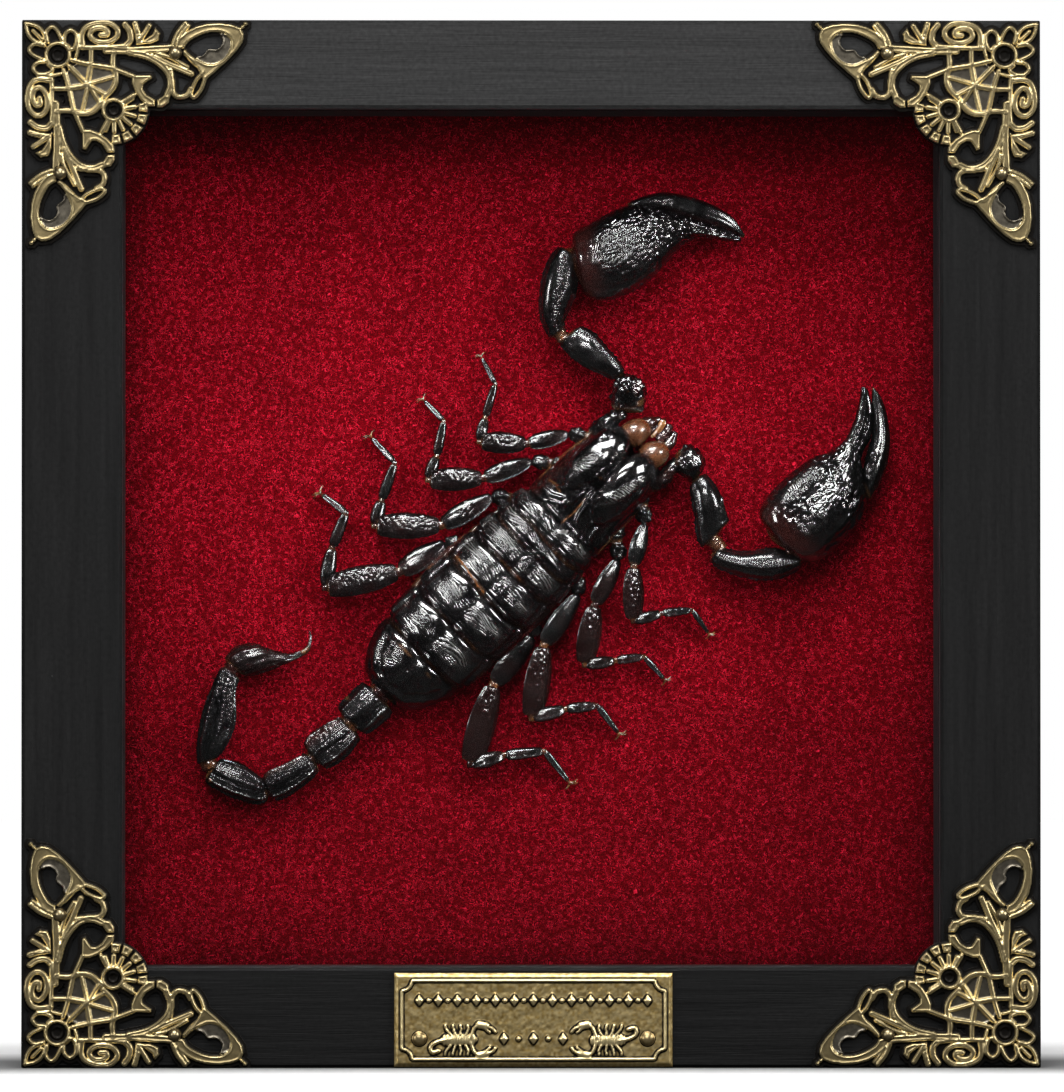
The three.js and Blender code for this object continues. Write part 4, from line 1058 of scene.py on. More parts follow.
def build_chelicerae(copper):
    for side, parts in CHELICERAE.items():
        bulb = sweep(parts["bulb"], columns=64, spacing=0.16, caps=(0.6, 0.6))
        p = bulb.points
        bulb.lift(0.03 * rough(p, 0.9, 191) - 0.18 * bump(bulb.along, 0.75, 0.14))
        bulb.tint(THIN, 0.5 * step(bulb.along, 0.7, 0.2))
        bulb.tint(RUDDY, 0.7 * step(bulb.up, 0.6, 0.1))
        skins = [bulb]
        for stations in parts["fingers"]:
            finger = limb(stations, columns=28, spacing=0.15, caps=(0.4, 0.2))
            finger.lift(0.1 * rough(finger.points, 0.9, 192) + 0.12 * grains(finger.points, 0.8, 193))
            finger.tint(RUDDY, 1)
            skins.append(finger)
        add_shell(f"chelicera_{side}_shell", skins, copper, f"chelicera_{side}", slot="copper_shell")


def lip_flap():
    """Thin amber flap between the chelicerae."""
    flap = limb(
        [(56.6, 0.75, 4.3, 0.2, 0.2), (58, 0.7, 4.2, 0.42, 0.2), (59.4, 1.1, 4.1, 0.55, 0.18),
         (60, 1.3, 4, 0.2, 0.1)], columns=20, spacing=0.2, caps=(0.2, 0.15),
    )
    flap.lift(0.03 * rough(flap.points, 0.5, 193))
    flap.tint(THIN, 1)
    return flap


# Pedipalps: knobbed base, upper arm, forearm, hand with its fixed finger, and movable finger.
# Edges are seen from above, left and right of the way from the body to the claw.

PEDIPALPS = {
    "left": {
        "coxa": [
            [
                (50.2, 7.9, 50.4, 6.2, 2.8, 1), (51.6, 8.3, 52, 6, 3.4, 1.6),
                (53.4, 8, 53.8, 5.8, 3.6, 1.8), (55.2, 7.6, 55.4, 5.6, 3.6, 1.7),
                (56.4, 7, 56.6, 5.4, 3.4, 1.2),
            ],
            [
                (55.4, 8, 57.8, 4.4, 3.6, 1.6), (56.6, 9.3, 59.6, 5, 3.9, 2.4),
                (57.4, 9.9, 61, 6.6, 4, 2.6), (58, 10.4, 61.4, 8.6, 4, 2.3),
                (58.6, 10.9, 60.8, 10.3, 4, 1.5),
            ],
        ],
        "femur": [
            (58.6, 10.6, 60.5, 10.4, 4, 1.6), (57.9, 12.5, 60.9, 12, 4.1, 2.4),
            (56.8, 15, 61.1, 14.8, 4.1, 2.6), (56.2, 18, 61.2, 18, 4, 2.5),
            (56.4, 20.8, 60.4, 20.6, 3.8, 1.9),
        ],
        "patella": [
            (55.9, 21.6, 57.8, 21.5, 3.9, 1.4), (56.4, 24, 59.2, 22.5, 4.1, 2.3),
            (57.8, 26.4, 61.2, 23.2, 4.2, 2.8), (60.5, 28.9, 63.6, 24.4, 4.3, 3),
            (63.3, 30.5, 65.4, 26, 4.3, 2.9), (65.7, 31.1, 66.7, 27.8, 4.2, 2.5),
            (67, 30.7, 67.4, 29, 4.1, 1.6),
        ],
        "hand": [
            (67.4, 30.2, 64.6, 26, 4.4, 2), (68.9, 31.2, 64.1, 23.5, 4.7, 3.3),
            (71.9, 30.5, 65.3, 20.9, 4.9, 4.2), (75.3, 29.7, 68.4, 19, 5, 4.6),
            (78, 28.6, 72.4, 18, 4.8, 4.4), (80.4, 27, 76.4, 18.1, 4.5, 3.7),
            (82.3, 24.7, 79.6, 18.4, 4.2, 3), (83.4, 22.3, 82.1, 17.7, 4, 2.4),
            (84.5, 19.7, 83.9, 16.2, 3.8, 1.8), (86.1, 16.8, 85.4, 14.2, 3.6, 1.1),
            (87.4, 13.5, 87, 12.7, 3.5, 0.4),
        ],
        "finger": [
            (77.8, 28.9, 80, 26, 4.3, 1.6), (80.7, 28, 81.9, 24, 4.5, 2.4),
            (83.6, 26.1, 82.9, 22, 4.4, 2.5), (86, 22.9, 83.9, 19.8, 4.3, 2.2),
            (87.8, 19.2, 85.5, 17.2, 4.1, 1.7), (88.5, 16, 86.8, 15, 3.9, 1.1),
            (88, 13, 87.5, 12.9, 3.7, 0.4),
        ],
        "wrist": [(57.3, 20.4, 3.6, 1.3, 1.5), (57.5, 21.4, 3.6, 1.1, 1.4), (57.9, 22.6, 3.6, 1.3, 1.5)],
        "arm_wrist": [(65.6, 29.4, 4, 1.3, 1.6), (66.9, 28.8, 4, 1.2, 1.5), (68.2, 28, 4.2, 1.4, 1.7)],
    },
    "right": {
        "coxa": [
            [
                (51, -4.4, 51, -5.4, 2.8, 1), (52.8, -4.2, 52.6, -6, 3.4, 1.6),
                (54.6, -3.9, 54.4, -6.1, 3.6, 1.8), (56.4, -3.7, 56, -5.8, 3.6, 1.7),
                (57.6, -3.9, 57, -5.6, 3.4, 1.2),
            ],
            [
                (58.2, -3.6, 55.8, -4.6, 3.6, 1.5), (59.9, -4.4, 56, -6.2, 3.9, 2.3),
                (60.5, -5.8, 56.2, -7, 4, 2.5), (60.3, -7.1, 56.6, -7.8, 4, 2.2),
                (59.2, -8, 57, -8.5, 4, 1.5),
            ],
        ],
        "femur": [
            (58.6, -8.4, 56.2, -8.2, 4, 1.5), (58.8, -10.4, 54.9, -10, 4.1, 2.3),
            (58.2, -12.9, 53.3, -12.4, 4.1, 2.6), (57.3, -14.8, 51.5, -14.7, 4, 2.5),
            (56.3, -16.7, 50.6, -17, 3.8, 1.9),
        ],
        "patella": [
            (52.3, -18.2, 50.4, -18.3, 3.8, 1.3), (53.4, -19.5, 50.5, -20.5, 4, 2.2),
            (55, -21.5, 51.5, -22.8, 4.2, 2.8), (57, -22.9, 53, -25.3, 4.2, 3),
            (58.6, -24.2, 55.1, -27.4, 4.2, 2.9), (59.5, -25.7, 57.6, -28.6, 4.1, 2.3),
            (60.7, -27.3, 60, -29, 4, 1.4),
        ],
        "hand": [
            (59.1, -21.4, 59.2, -24.6, 4.4, 1.9), (60.3, -19, 60.2, -28.4, 4.7, 3.3),
            (62.6, -17.9, 62.6, -30.3, 4.9, 4.2), (66, -17.6, 66.4, -30.4, 5, 4.6),
            (69.8, -17.8, 70.3, -30.1, 4.8, 4.3), (72.6, -18.4, 73.3, -28.9, 4.5, 3.6),
            (75, -19.4, 75.5, -26.4, 4.1, 2.8), (77.6, -19.6, 77.6, -23.3, 3.9, 2),
            (80.4, -18.6, 80.7, -22.1, 3.8, 1.6), (83, -17, 83.3, -20, 3.6, 1.1),
            (85.1, -15.5, 85.5, -16.4, 3.5, 0.4),
        ],
        "finger": [
            (75, -26, 73.8, -29, 4, 1.5), (77.1, -24.3, 76.8, -28.1, 4.1, 2.2),
            (79, -23.1, 79.5, -26.9, 4.1, 2.1), (81.1, -21.9, 82.4, -24.6, 4, 1.8),
            (82.9, -20.2, 84.5, -21.9, 3.8, 1.4), (84.4, -18.4, 86, -19, 3.6, 0.9),
            (85.9, -16.9, 86.3, -16.8, 3.5, 0.35),
        ],
        "wrist": [(52.9, -16.3, 3.6, 1.2, 1.5), (52.7, -17.5, 3.6, 1.2, 1.5), (52.6, -19, 3.6, 1.2, 1.5)],
        "arm_wrist": [(58.8, -26.8, 4, 1.2, 1.5), (60, -26.4, 4, 1.2, 1.5), (61.4, -25.8, 4.2, 1.3, 1.7)],
    },
}


def coxa_skins(parts, seed):
    skins = []
    for k, edges in enumerate(parts):
        skin = sweep(edges, columns=80, spacing=0.18, caps=(0.6, 0.6))
        p = skin.points
        knobs = grains(p, 1.25, seed + k) * step(noise(p, 2.6, seed + 5), -0.5, 0.1)
        skin.lift((0.2 + 0.3 * k) * knobs + 0.3 * rough(p, 2.2, seed + 2) + 0.16 * grains(p, 0.7, seed + 3))
        skin.lift(0.35 * k * np.clip(noise(p, 1.5, seed + 4), 0, 1) * step(np.abs(skin.side), 0.5, 1))
        skin.tint(THIN, 0.45 * bump(skin.along, 0.2, 0.3) + 0.5 * bump(noise(p, 1.9, seed + 6), 0.9, 0.1))
        skin.tint(RUDDY, step(skin.up, 0.25, -0.1) + 0.5 * step(noise(p, 2.5, seed + 7), 0.1, 0.5))
        skins.append(skin)
    return skins


def arm_skin(edges, seed, edge_turns, smooth_turn):
    """An upper arm or forearm: smooth on top, with granulate keels along its edges."""
    skin = sweep(edges, columns=104, spacing=0.2, caps=(0.7, 0.7), square=2.5)
    p = skin.points
    half_turn = skin.turn / math.pi
    ends = step(skin.along, 0.3, 1.2) * step(skin.length - skin.along, 0.3, 1.2)
    for turn in edge_turns:
        line = bump(half_turn + 0.02 * noise(p, 2.4, seed), turn, 0.045)
        skin.lift(ends * line * (0.18 + 0.2 * grains(p, 0.75, seed + 1)))
    spine = bump(half_turn + 0.03 * noise(p, 3, seed + 6), edge_turns[1], 0.07) * ends
    skin.crease(skin.along, spine)
    skin.tint(SATIN, 0.35 * spine * step(grains(p, 0.7, seed + 7), 0.1, 0.5))
    away = step(np.abs(half_turn - smooth_turn), 0.12, 0.25)
    patches = step(noise(p, 2, seed + 4), 0, 0.4)
    skin.lift(away * (0.06 * rough(p, 1.3, seed + 2) + 0.14 * grains(p, 0.95, seed + 3) * patches))
    skin.lift(0.03 * rough(p, 2.5, seed + 5))
    skin.lift(0.14 * bump(skin.along, 0.6, 0.25) + 0.14 * bump(skin.length - skin.along, 0.6, 0.25))
    skin.tint(THIN, 0.45 * (bump(skin.along, 0.1, 0.25) + bump(skin.length - skin.along, 0.1, 0.25)))
    skin.tint(RUDDY, step(skin.up, 0.1, -0.2))
    return skin


# Where the palms shine: middle, radii, lean and how much
HAND_FIELDS = {
    "left": [((72.3, 25), (4.6, 3.2), -15, 1), ((74, 21.6), (4.2, 1.4), -8, 0.4)],
    "right": [((68, -19.8), (4.4, 1.2), -2, 1), ((65, -25.4), (3.2, 1.4), -8, 0.7)],
}


def hand_skin(edges, seed, side):
    skin = sweep(edges, columns=200, spacing=0.18, caps=(1.5, 0.3), square=2.1)
    p = skin.points
    half_turn = skin.turn / math.pi
    along = skin.along / skin.length
    palm = step(along, 0.08, 0.2) * step(along, 0.62, 0.5)
    # Islands stretched along the hand turn into rows of granules towards the finger
    ahead = skin.along + 0.6 * noise(p, 2.4, seed)
    laid = np.stack([ahead, half_turn * 17, np.zeros_like(ahead)], axis=-1)
    middle = palm * bump(half_turn, 0.46, 0.26)
    islands = network(laid / [1.7, 0.9, 1], 1.0, seed + 1)
    skin.lift((0.24 if side == "left" else 0.14) * middle * (islands - 0.5))
    for at, radii, lean, amount in HAND_FIELDS[side]:
        field = step(oval(p[..., 0], p[..., 1], at, radii, lean), 1.15, 0.55) * step(skin.up, 0, 0.3)
        skin.tint(SATIN, amount * field ** 1.5 * (0.2 + 0.8 * step(islands, 0.1, 0.6)))
        skin.crease(laid[..., 0] + 0.25 * laid[..., 1], 0.5 * field)
    toward = step(along, 0.3, 0.5) * step(along, 0.95, 0.7)
    skin.lift(0.15 * toward * grains(laid, 0.72, seed + 3) * step(skin.up, -0.1, 0.3))
    border = bump(half_turn, 0.88, 0.14) + bump(half_turn, 0.12, 0.08)
    skin.lift(0.2 * border * palm * grains(p, 0.95, seed + 4))
    skin.lift(0.16 * rough(p, 4, seed + 5) * palm + 0.04 * rough(p, 1.2, seed + 6))
    if side == "right":
        # A shallow valley between the two bright fields of this hand
        skin.lift(-0.55 * bump(half_turn, 0.42, 0.09) * palm)
        skin.lift(0.3 * bump(half_turn, 0.74, 0.05) * palm)
    fixed_finger = step(along, 0.6, 0.72)
    for turn in (0.25, 0.45, 0.68):
        skin.lift(0.13 * fixed_finger * bump(half_turn, turn, 0.045) * step(1 - along, 0.0, 0.06))
    skin.lift(-0.25 * bump(skin.along, 0.7, 0.25))
    skin.tint(RUDDY, 0.8 * step(along, 0.2, 0.08) + step(skin.up, 0, -0.2))
    skin.tint(THIN, 0.35 * bump(skin.along, 0.15, 0.3))
    return skin


def finger_skin(edges, seed):
    skin = sweep(edges, columns=90, spacing=0.17, caps=(0.6, 0.25), square=2.2)
    p = skin.points
    half_turn = skin.turn / math.pi
    body = step(skin.along, 0.5, 2) * step(skin.length - skin.along, 0.3, 2)
    skin.lift(0.16 * body * bump(half_turn, 0.6, 0.05) + 0.1 * body * bump(half_turn, 0.3, 0.05))
    skin.lift(0.1 * grains(p, 0.9, seed) * step(skin.along, 8, 4) + 0.03 * rough(p, 1.5, seed + 1))
    skin.tint(THIN, 0.5 * bump(skin.along, 0.3, 0.25) + 0.4 * step(skin.length - skin.along, 0.5, 0))
    skin.tint(RUDDY, 0.6 * step(half_turn, 0.6, 0.85))
    return skin


def neck_skin(stations, seed):
    neck = limb(stations, columns=36, spacing=0.2, caps=(0.3, 0.3))
    neck.lift(0.12 * np.sin(2 * math.pi * neck.along / 0.6) + 0.05 * rough(neck.points, 0.8, seed))
    neck.tint(THIN, 0.15 + 0.6 * noise(neck.points, 1.3, seed + 1))
    neck.tint(RUDDY, 1)
    return neck


def build_pedipalps(glossy, dull):
    necks = []
    for side, parts in PEDIPALPS.items():
        seed = 200 if side == "left" else 260
        pieces = {
            "coxa": coxa_skins(parts["coxa"], seed),
            "femur": [arm_skin(parts["femur"], seed + 10, (0.12, 0.75, 0.92), 0.4)],
            "patella": [arm_skin(parts["patella"], seed + 20, (0.1, 0.52, 0.9), 0.3)],
            "hand": [hand_skin(parts["hand"], seed + 30, side)],
            "finger": [finger_skin(parts["finger"], seed + 40)],
        }
        for name, skins in pieces.items():
            material = glossy if name in ("coxa", "hand") else dull
            add_shell(f"{name}_{side}", skins, material, f"pedipalp_{name}_{side}")
        necks.append(neck_skin(parts["wrist"], seed + 50))
        necks.append(neck_skin(parts["arm_wrist"], seed + 52))
    return necks


# Legs: joints from the body to the claws, as x, y and height, front leg first

LEG_JOINTS = {
    "left": [
        [(48.2, 9.6, 3), (42.5, 12.9, 4), (37.5, 18.1, 3.2), (40.7, 20.2, 2.4), (45.3, 22.8, 1.8),
         (46.6, 27.2, 0.9)],
        [(41.4, 10.5, 3), (34.1, 13.7, 4.2), (27.9, 19.3, 3.2), (31.4, 21, 2.4),
         (35.8, 24.1, 1.8), (35.8, 28.5, 0.9)],
        [(33.4, 10.8, 3), (24.6, 12.9, 4.2), (17.3, 19.8, 3.2), (20.8, 21.9, 2.4),
         (26.1, 24.6, 1.8), (26.2, 29.9, 0.9)],
        [(23.4, 10.6, 3), (15.2, 12.2, 4.2), (5.5, 18.2, 3.2), (10.5, 21.9, 2.4),
         (15.6, 24.2, 1.8), (14.8, 28.9, 0.9)],
    ],
    "right": [
        [(47.2, -7.9, 3), (41.4, -11.5, 4), (35.7, -17.5, 3.2), (39.6, -19.6, 2.4),
         (43.3, -22.4, 1.8), (42.7, -26.7, 0.9)],
        [(40.6, -9.2, 3), (33.1, -11.7, 4.2), (25.8, -17.2, 3.2), (29.7, -20, 2.4),
         (33.2, -22.5, 1.8), (33.1, -27.1, 0.9)],
        [(32.6, -8.9, 3), (23.4, -10.8, 4.2), (14.5, -17.5, 3.2), (19.2, -20.1, 2.4),
         (23, -23, 1.8), (22.5, -28.2, 0.9)],
        [(23.3, -8.8, 3), (13.8, -9.9, 4.2), (3, -16.2, 3.2), (7.7, -18.8, 2.4),
         (12.5, -22.5, 1.8), (12, -28.4, 0.9)],
    ],
}
LEG_SIZES = (0.82, 0.9, 1.0, 1.08)
KNEE_HALVES = (0.7, 0.65, 0.48, 0.4)
CLAW_SPREADS = (-0.45, 0.1, 0.5)
# Where a leg joins the body: reach under the body, half width and half height, from the inside out
HIP = ((3, 1.5, 1.2), (2.1, 1.4, 1.15), (1.35, 0.85, 0.8), (0.8, 1.2, 1.05), (0.25, 1.05, 0.95))
# Half widths along each piece of a leg, from its near end to its far end, and how flat it is
LEG_PIECES = {
    "femur": ((0.6, 1.15, 1.5, 1.6, 1.45, 1), 0.62),
    "patella": ((1.1, 1.65, 1.95, 2, 1.8, 1.35), 0.62),
    "tibia": ((0.6, 1, 1.1, 0.95, 0.65), 0.85),
    "ankle": ((0.65, 0.85, 0.82, 0.72, 0.5), 0.85),
    "foot": ((0.45, 0.55, 0.5, 0.42, 0.34), 0.9),
}


def leg_piece(name, near, far, size, seed, mirror):
    widths, flatness = LEG_PIECES[name]
    near, far = np.array(near, float), np.array(far, float)
    stations = []
    for f, width in zip(np.linspace(0.02, 0.98, len(widths)), widths):
        x, y, z = near + (far - near) * f
        half = width * size
        stations.append((x, y, z, half, min(flatness * half, z - 0.15)))
    blade = name in ("femur", "patella")
    skin = limb(
        stations, columns=72 if blade else 40, spacing=0.19, caps=(0.4, 0.4), square=2.6,
        lean=((0.12 if mirror > 0 else -0.42) if blade else 0.1 * mirror),
    )
    p = skin.points
    # half_turn counts from the edge that faces the body's axis
    half_turn = skin.turn / math.pi if mirror > 0 else 1 - skin.turn / math.pi
    half_turn = np.where(half_turn < -0.5, half_turn + 2, half_turn)
    ends = step(skin.along, 0.2, 0.8) * step(skin.length - skin.along, 0.2, 0.8)
    if name == "femur":
        skin.lift(0.24 * size * ends * bump(half_turn, 0.13, 0.05) * (0.7 + 0.5 * grains(p, 0.5, seed)))
        # A shining stripe: broad and wrinkled on the left legs, a thin line on the right ones
        at, width = (0.2, 0.05) if mirror > 0 else (0.13, 0.04)
        stripe = ends * bump(half_turn + 0.02 * noise(p, 2, seed + 7), at, width)
        skin.tint(SATIN, 0.4 * stripe)
        skin.crease(0.5 * skin.along + 5 * half_turn, 0.6 * stripe * (mirror > 0))
    elif name == "patella":
        # A netted, shinier field runs down one side of the blade
        field = bump(half_turn, 0.62 if mirror > 0 else 0.5, 0.16) * ends
        skin.lift(0.12 * field * (network(p, 0.75, seed + 6) - 0.5))
        skin.tint(SATIN, 0.14 * field * step(network(p, 0.75, seed + 6), 0.3, 0.8))
        skin.lift(0.12 * size * ends * bump(half_turn, 0.12, 0.05))
        skin.tint(RUDDY, 0.35 if mirror < 0 else 0.1)
    else:
        skin.lift(0.1 * size * ends * bump(half_turn, 0.3, 0.08))
        skin.tint(SATIN, 0.35 * bump(half_turn, 0.3, 0.08) * ends)
    patches = step(noise(p, 1.5, seed + 3), 0.1, 0.5)
    skin.lift(0.03 * rough(p, 0.9, seed + 1) + 0.09 * grains(p, 0.6, seed + 2) * patches)
    skin.tint(THIN, 0.35 * bump(skin.length - skin.along, 0.05, 0.2))
    skin.tint(RUDDY, 0.1 + 0.3 * noise(p, 2.5, seed + 4))
    return skin


def claw(tip, heading, spread, size, seed):
    """A small curved claw at the tip of a foot."""
    angle = heading + spread
    stations = []
    for k, half in enumerate((0.2, 0.17, 0.12, 0.05)):
        reach = 0.42 * k * size
        bend = angle + 0.25 * k * np.sign(spread)
        x = tip[0] + reach * math.cos(bend)
        y = tip[1] + reach * math.sin(bend)
        stations.append((x, y, max(tip[2] - 0.12 * k, 0.3), half * size, half * size))
    skin = limb(stations, columns=12, spacing=0.12, caps=(0.1, 0.08))
    skin.tint(THIN, 0.55)
    skin.tint(RUDDY, 1)
    return skin


def hip_knob(joints, mirror, seed):
    """The short, granulate piece that reaches under the body."""
    hip = np.array(joints[0])
    inward = np.array((1.1, -1.5 * mirror, -0.1))
    out = np.array(joints[1]) - hip
    stations = [(*(hip + reach * inward), *halves) for reach, *halves in HIP]
    stations.append((*(hip + 0.03 * out), 0.7, 0.6))
    knob = limb(stations, columns=40, spacing=0.14, caps=(0.4, 0.4))
    knob.lift(0.3 * grains(knob.points, 1.1, seed + 30) + 0.1 * rough(knob.points, 1, seed + 31))
    patches = bump(noise(knob.points, 1.4, seed), 0.8, 0.12)
    knob.tint(THIN, 0.4 * bump(knob.along, 3, 0.3) + 0.4 * patches)
    return knob


def knee_skin(before, here, after, half, seed):
    """Soft skin inside a leg's joint."""
    before, here, after = (np.array(joint, float) for joint in (before, here, after))
    back = here + 0.55 * (before - here) / np.linalg.norm(before - here)
    on = here + 0.55 * (after - here) / np.linalg.norm(after - here)
    stations = [(*place, half, half * 0.8) for place in (back, here, on)]
    skin = limb(stations, columns=20, spacing=0.2, caps=(0.2, 0.2))
    skin.tint(THIN, 0.2 + 0.6 * noise(skin.points, 1.2, seed + 32))
    skin.tint(RUDDY, 1)
    return skin


def build_legs(material):
    necks = []
    for side, legs in LEG_JOINTS.items():
        mirror = 1 if side == "left" else -1
        for number, (joints, size) in enumerate(zip(legs, LEG_SIZES), start=1):
            seed = 400 + 40 * number + (0 if side == "left" else 200)
            skins = []
            for k, name in enumerate(LEG_PIECES):
                skins.append(leg_piece(name, joints[k], joints[k + 1], size, seed + 5 * k, mirror))
            skins.append(hip_knob(joints, mirror, seed))
            toe, ankle = np.array(joints[5]), np.array(joints[4])
            heading = math.atan2(*(toe - ankle)[1::-1])
            for spread in CLAW_SPREADS:
                skins.append(claw(toe, heading, spread, size, seed))
            add_shell(f"leg_{side}_{number}_shell", skins, material, f"leg_{side}_{number}")
            for k, half in enumerate(KNEE_HALVES):
                necks.append(knee_skin(*joints[k:k + 3], size * half, seed))
    return necks


def build_specimen():
    shell = horn("black_shell", 0.0012, 0.0035, 0.1)
    dull = horn("dull_shell", 0.0015, 0.005, 0.13, gloss=0.45)
    copper = horn("copper_shell", (0.045, 0.015, 0.006), (0.11, 0.04, 0.014), 0.17, gloss=0.7, grain=0.3)
    build_abdomen(shell)
    build_carapace(shell)
    skins = build_tail(dull) + build_pedipalps(shell, dull) + build_legs(dull) + side_skins()
    skins.append(lip_flap())
    build_telson(dull)
    build_chelicerae(copper)
    add_shell("joint_skins", skins, shell)


# Cast brass: pierced corners and the name plate, drawn as strokes and raised from them

CREST = 1.45  # mm from the wood to the highest beads
# FLANGE's dark paint is also painted shadow round each stroke
FLANGE = 0.46  # the low dark edge round every stroke
FLANGE_TOP = 0.6
SHOULDER = 0.19  # rounded shoulder outside the drawn width of a stroke
CORNER_REACH = 34.2
CORNER_PITCH = 0.15
SPLAY, SPLAY_FROM, SPLAY_TO = 0.057, 5, 19  # lean of the side arm, away from the edge
CORNER_RING = ((5.4, 5.3), 2.1, 1.4)
INNER_RING = ((13.7, 13.5), 1.9, 1.15)
NAIL_AT = (22.9, 5.0)
NAIL_RADIUS = 1.0

# Strokes of one arm, in mm along and in from the outer corner: (width, line)
ARM_STROKES = [
    # petals of the corner flower
    (0.5, [(0.6, 0.6), (2.2, 1.0), (3.2, 1.9), (3.7, 3.3)]),
    (0.5, [(3.9, 3.4), (3.7, 1.9), (4.5, 1.1), (5.3, 1.7), (6, 3.1)]),
    (0.5, [(6.3, 3.5), (6.5, 2.2), (7.3, 1.6), (8.1, 2.2), (8.1, 3.6), (7.5, 4.5), (6.8, 3.9)]),
    (0.45, [(8.3, 2.2), (8.4, 4.2), (8.1, 5.6)]),
    # scroll
    (0.75, [(9.1, 4.2), (9, 2.2), (9.7, 1.1), (11.5, 0.5), (13.3, 0.65), (14.35, 1.7), (14, 2.8), (12.8, 3.4),
            (11.2, 3.3), (10.2, 2.5), (10.5, 1.6), (11.6, 1.25), (12.7, 1.6), (12.7, 2.3), (11.8, 2.3)]),
    (0.6, [(8.6, 4.2), (12.8, 4.15), (15.4, 3.9)]),
    # flutes of the shell
    (0.85, [(15.4, 0.75), (16.1, 1.8), (16.2, 3.1), (15.6, 3.8)]),
    (0.8, [(16.9, 0.6), (17.35, 2.2)]),
    (0.55, [(17.1, 1), (17.3, 3.1)]),
    (0.7, [(19, 0.95), (18.1, 2.4), (17.4, 3.4)]),
    # stems
    (1.05, [(12.6, 4.6), (16.5, 4.65), (19, 4.5), (22.4, 4.3)]),
    (0.9, [(16, 4.9), (18.5, 5.45), (20.4, 6.45), (21.8, 7.9), (22.25, 9.7), (21.7, 11.3)]),
    (0.8, [(19.4, 5.5), (22, 6.7), (25.3, 8.1)]),
    (0.55, [(20.2, 5.1), (22.2, 5.7), (24.7, 7.1)]),
    (0.7, [(22.2, 7.6), (22.45, 9.4), (22.6, 10.9), (23.4, 11.55), (24.6, 11.3), (25.2, 10.4)]),
    # folded leaf
    (0.55, [(24.3, 4.9), (25.4, 6.2), (27.1, 7.7)]),
    (0.5, [(27.1, 7.9), (26, 9.1), (25.3, 10.9), (25.7, 11.6), (26.7, 10.5), (27.3, 8.9)]),
    # bud
    (0.65, [(22.6, 3.6), (23.3, 2), (24.4, 0.6)]),
    (0.5, [(23.3, 3.2), (24, 2.1), (24.9, 0.9)]),
    # lattice
    (0.65, [(10.35, 4.4), (10.3, 6.6), (9.8, 9.7)]),
    (0.6, [(7.6, 6.1), (10.2, 6.7), (13.3, 7.2), (14.6, 7.7), (16.7, 8.5)]),
    (0.7, [(13.75, 4.7), (13.6, 6.6), (14.1, 8.5), (13.7, 10.2), (12.3, 11.7)]),
    (0.45, [(9.7, 9.7), (13.6, 8.6)]),
    (0.5, [(9.7, 9.7), (12.4, 11.2)]),
    (0.6, [(14.9, 12.4), (16.7, 11.3)]),
]
# Solid shapes of one arm, with a flat satin top
LOOP = [
    (22.6, 4.3), (23.2, 2.9), (24.4, 1.8), (25.9, 1), (27.6, 0.55), (29.6, 0.45), (31.4, 0.7), (32.7, 1.2),
    (33.2, 2.2), (33, 3.4), (32.1, 4.7), (30.9, 6), (29.4, 7.4), (27.9, 8.7), (27.1, 9.3), (26.6, 8.2),
    (25.6, 6.5), (24.4, 5.1), (24.2, 4.4), (23.4, 4.6),
]
LOOP_HOLE = [
    (24.3, 4.4), (24.8, 3.5), (25.8, 2.8), (27.3, 2.15), (28.9, 1.9), (30.3, 2.2), (31.1, 3.1), (31, 4.4),
    (30.3, 5.6), (29.2, 6.4), (27.9, 6.6), (26.6, 6.1), (25.3, 5.3),
]
LOOP_LEAF = [
    (29.5, 2), (29.9, 3.4), (29.1, 4.4), (27.8, 4.4), (27, 5.3), (26, 5.7), (27, 7), (30, 7), (31.6, 4.6),
    (31.3, 2.6),
]
ARM_SOLIDS = [
    [(16.5, 8.35), (19.3, 8.25), (19.5, 8.8), (18.8, 9.2), (18.15, 9.7), (18.1, 10.4), (18.6, 11.2),
     (19.9, 12), (19.9, 13.05), (18.9, 13), (17.8, 12.1), (16.9, 10.8), (16.4, 9.5)],
    [(20.2, 12), (21.4, 11.2), (22.1, 11.6), (21.9, 12.5), (21, 13.1), (20.2, 13.1)],
    [(19.9, 1.2), (20.6, 2), (20.4, 3.2), (19.3, 3.65), (16.8, 3.85), (18.5, 2.9), (19.5, 2.2)],
]
BALLS = [
    ((15.35, 0.65), 0.5), ((16.9, 0.55), 0.5), ((19.05, 0.9), 0.45), ((16.9, 11.2), 0.4),
    ((33.35, 0.65), 0.5), ((32.9, 1.1), 0.45),
]
WEB = [(7.4, 7), (8.6, 6.4), (10.3, 6.8), (13.5, 7.4), (14.1, 8.6), (13.6, 10.3), (12.3, 11.6)]
MIDDLE_STROKES = [(0.5, [(1.7, 1.7), (3, 3)]), (0.6, [(7.1, 7), (9.7, 9.7)])]
FAN_ANGLES = (-31, -8, 16, 40, 64, 88, 111)
TILE_ANGLES = (-5, 17, 40, 63, 85)
TILE = (3.62, 5.25, 10.2)  # radii of its ends from the middle of the inner ring, and half its angle


def side_arm(u, v):
    """Where a place on the side arm lies on the top arm's drawing."""
    return v, u - SPLAY * (np.clip(v, SPLAY_FROM, SPLAY_TO) - SPLAY_FROM)


def smooth(line, each=5):
    """The same line with rounded bends."""
    if len(line) < 3:
        return line
    return curve(line, np.linspace(0, len(line) - 1, each * (len(line) - 1) + 1)).tolist()


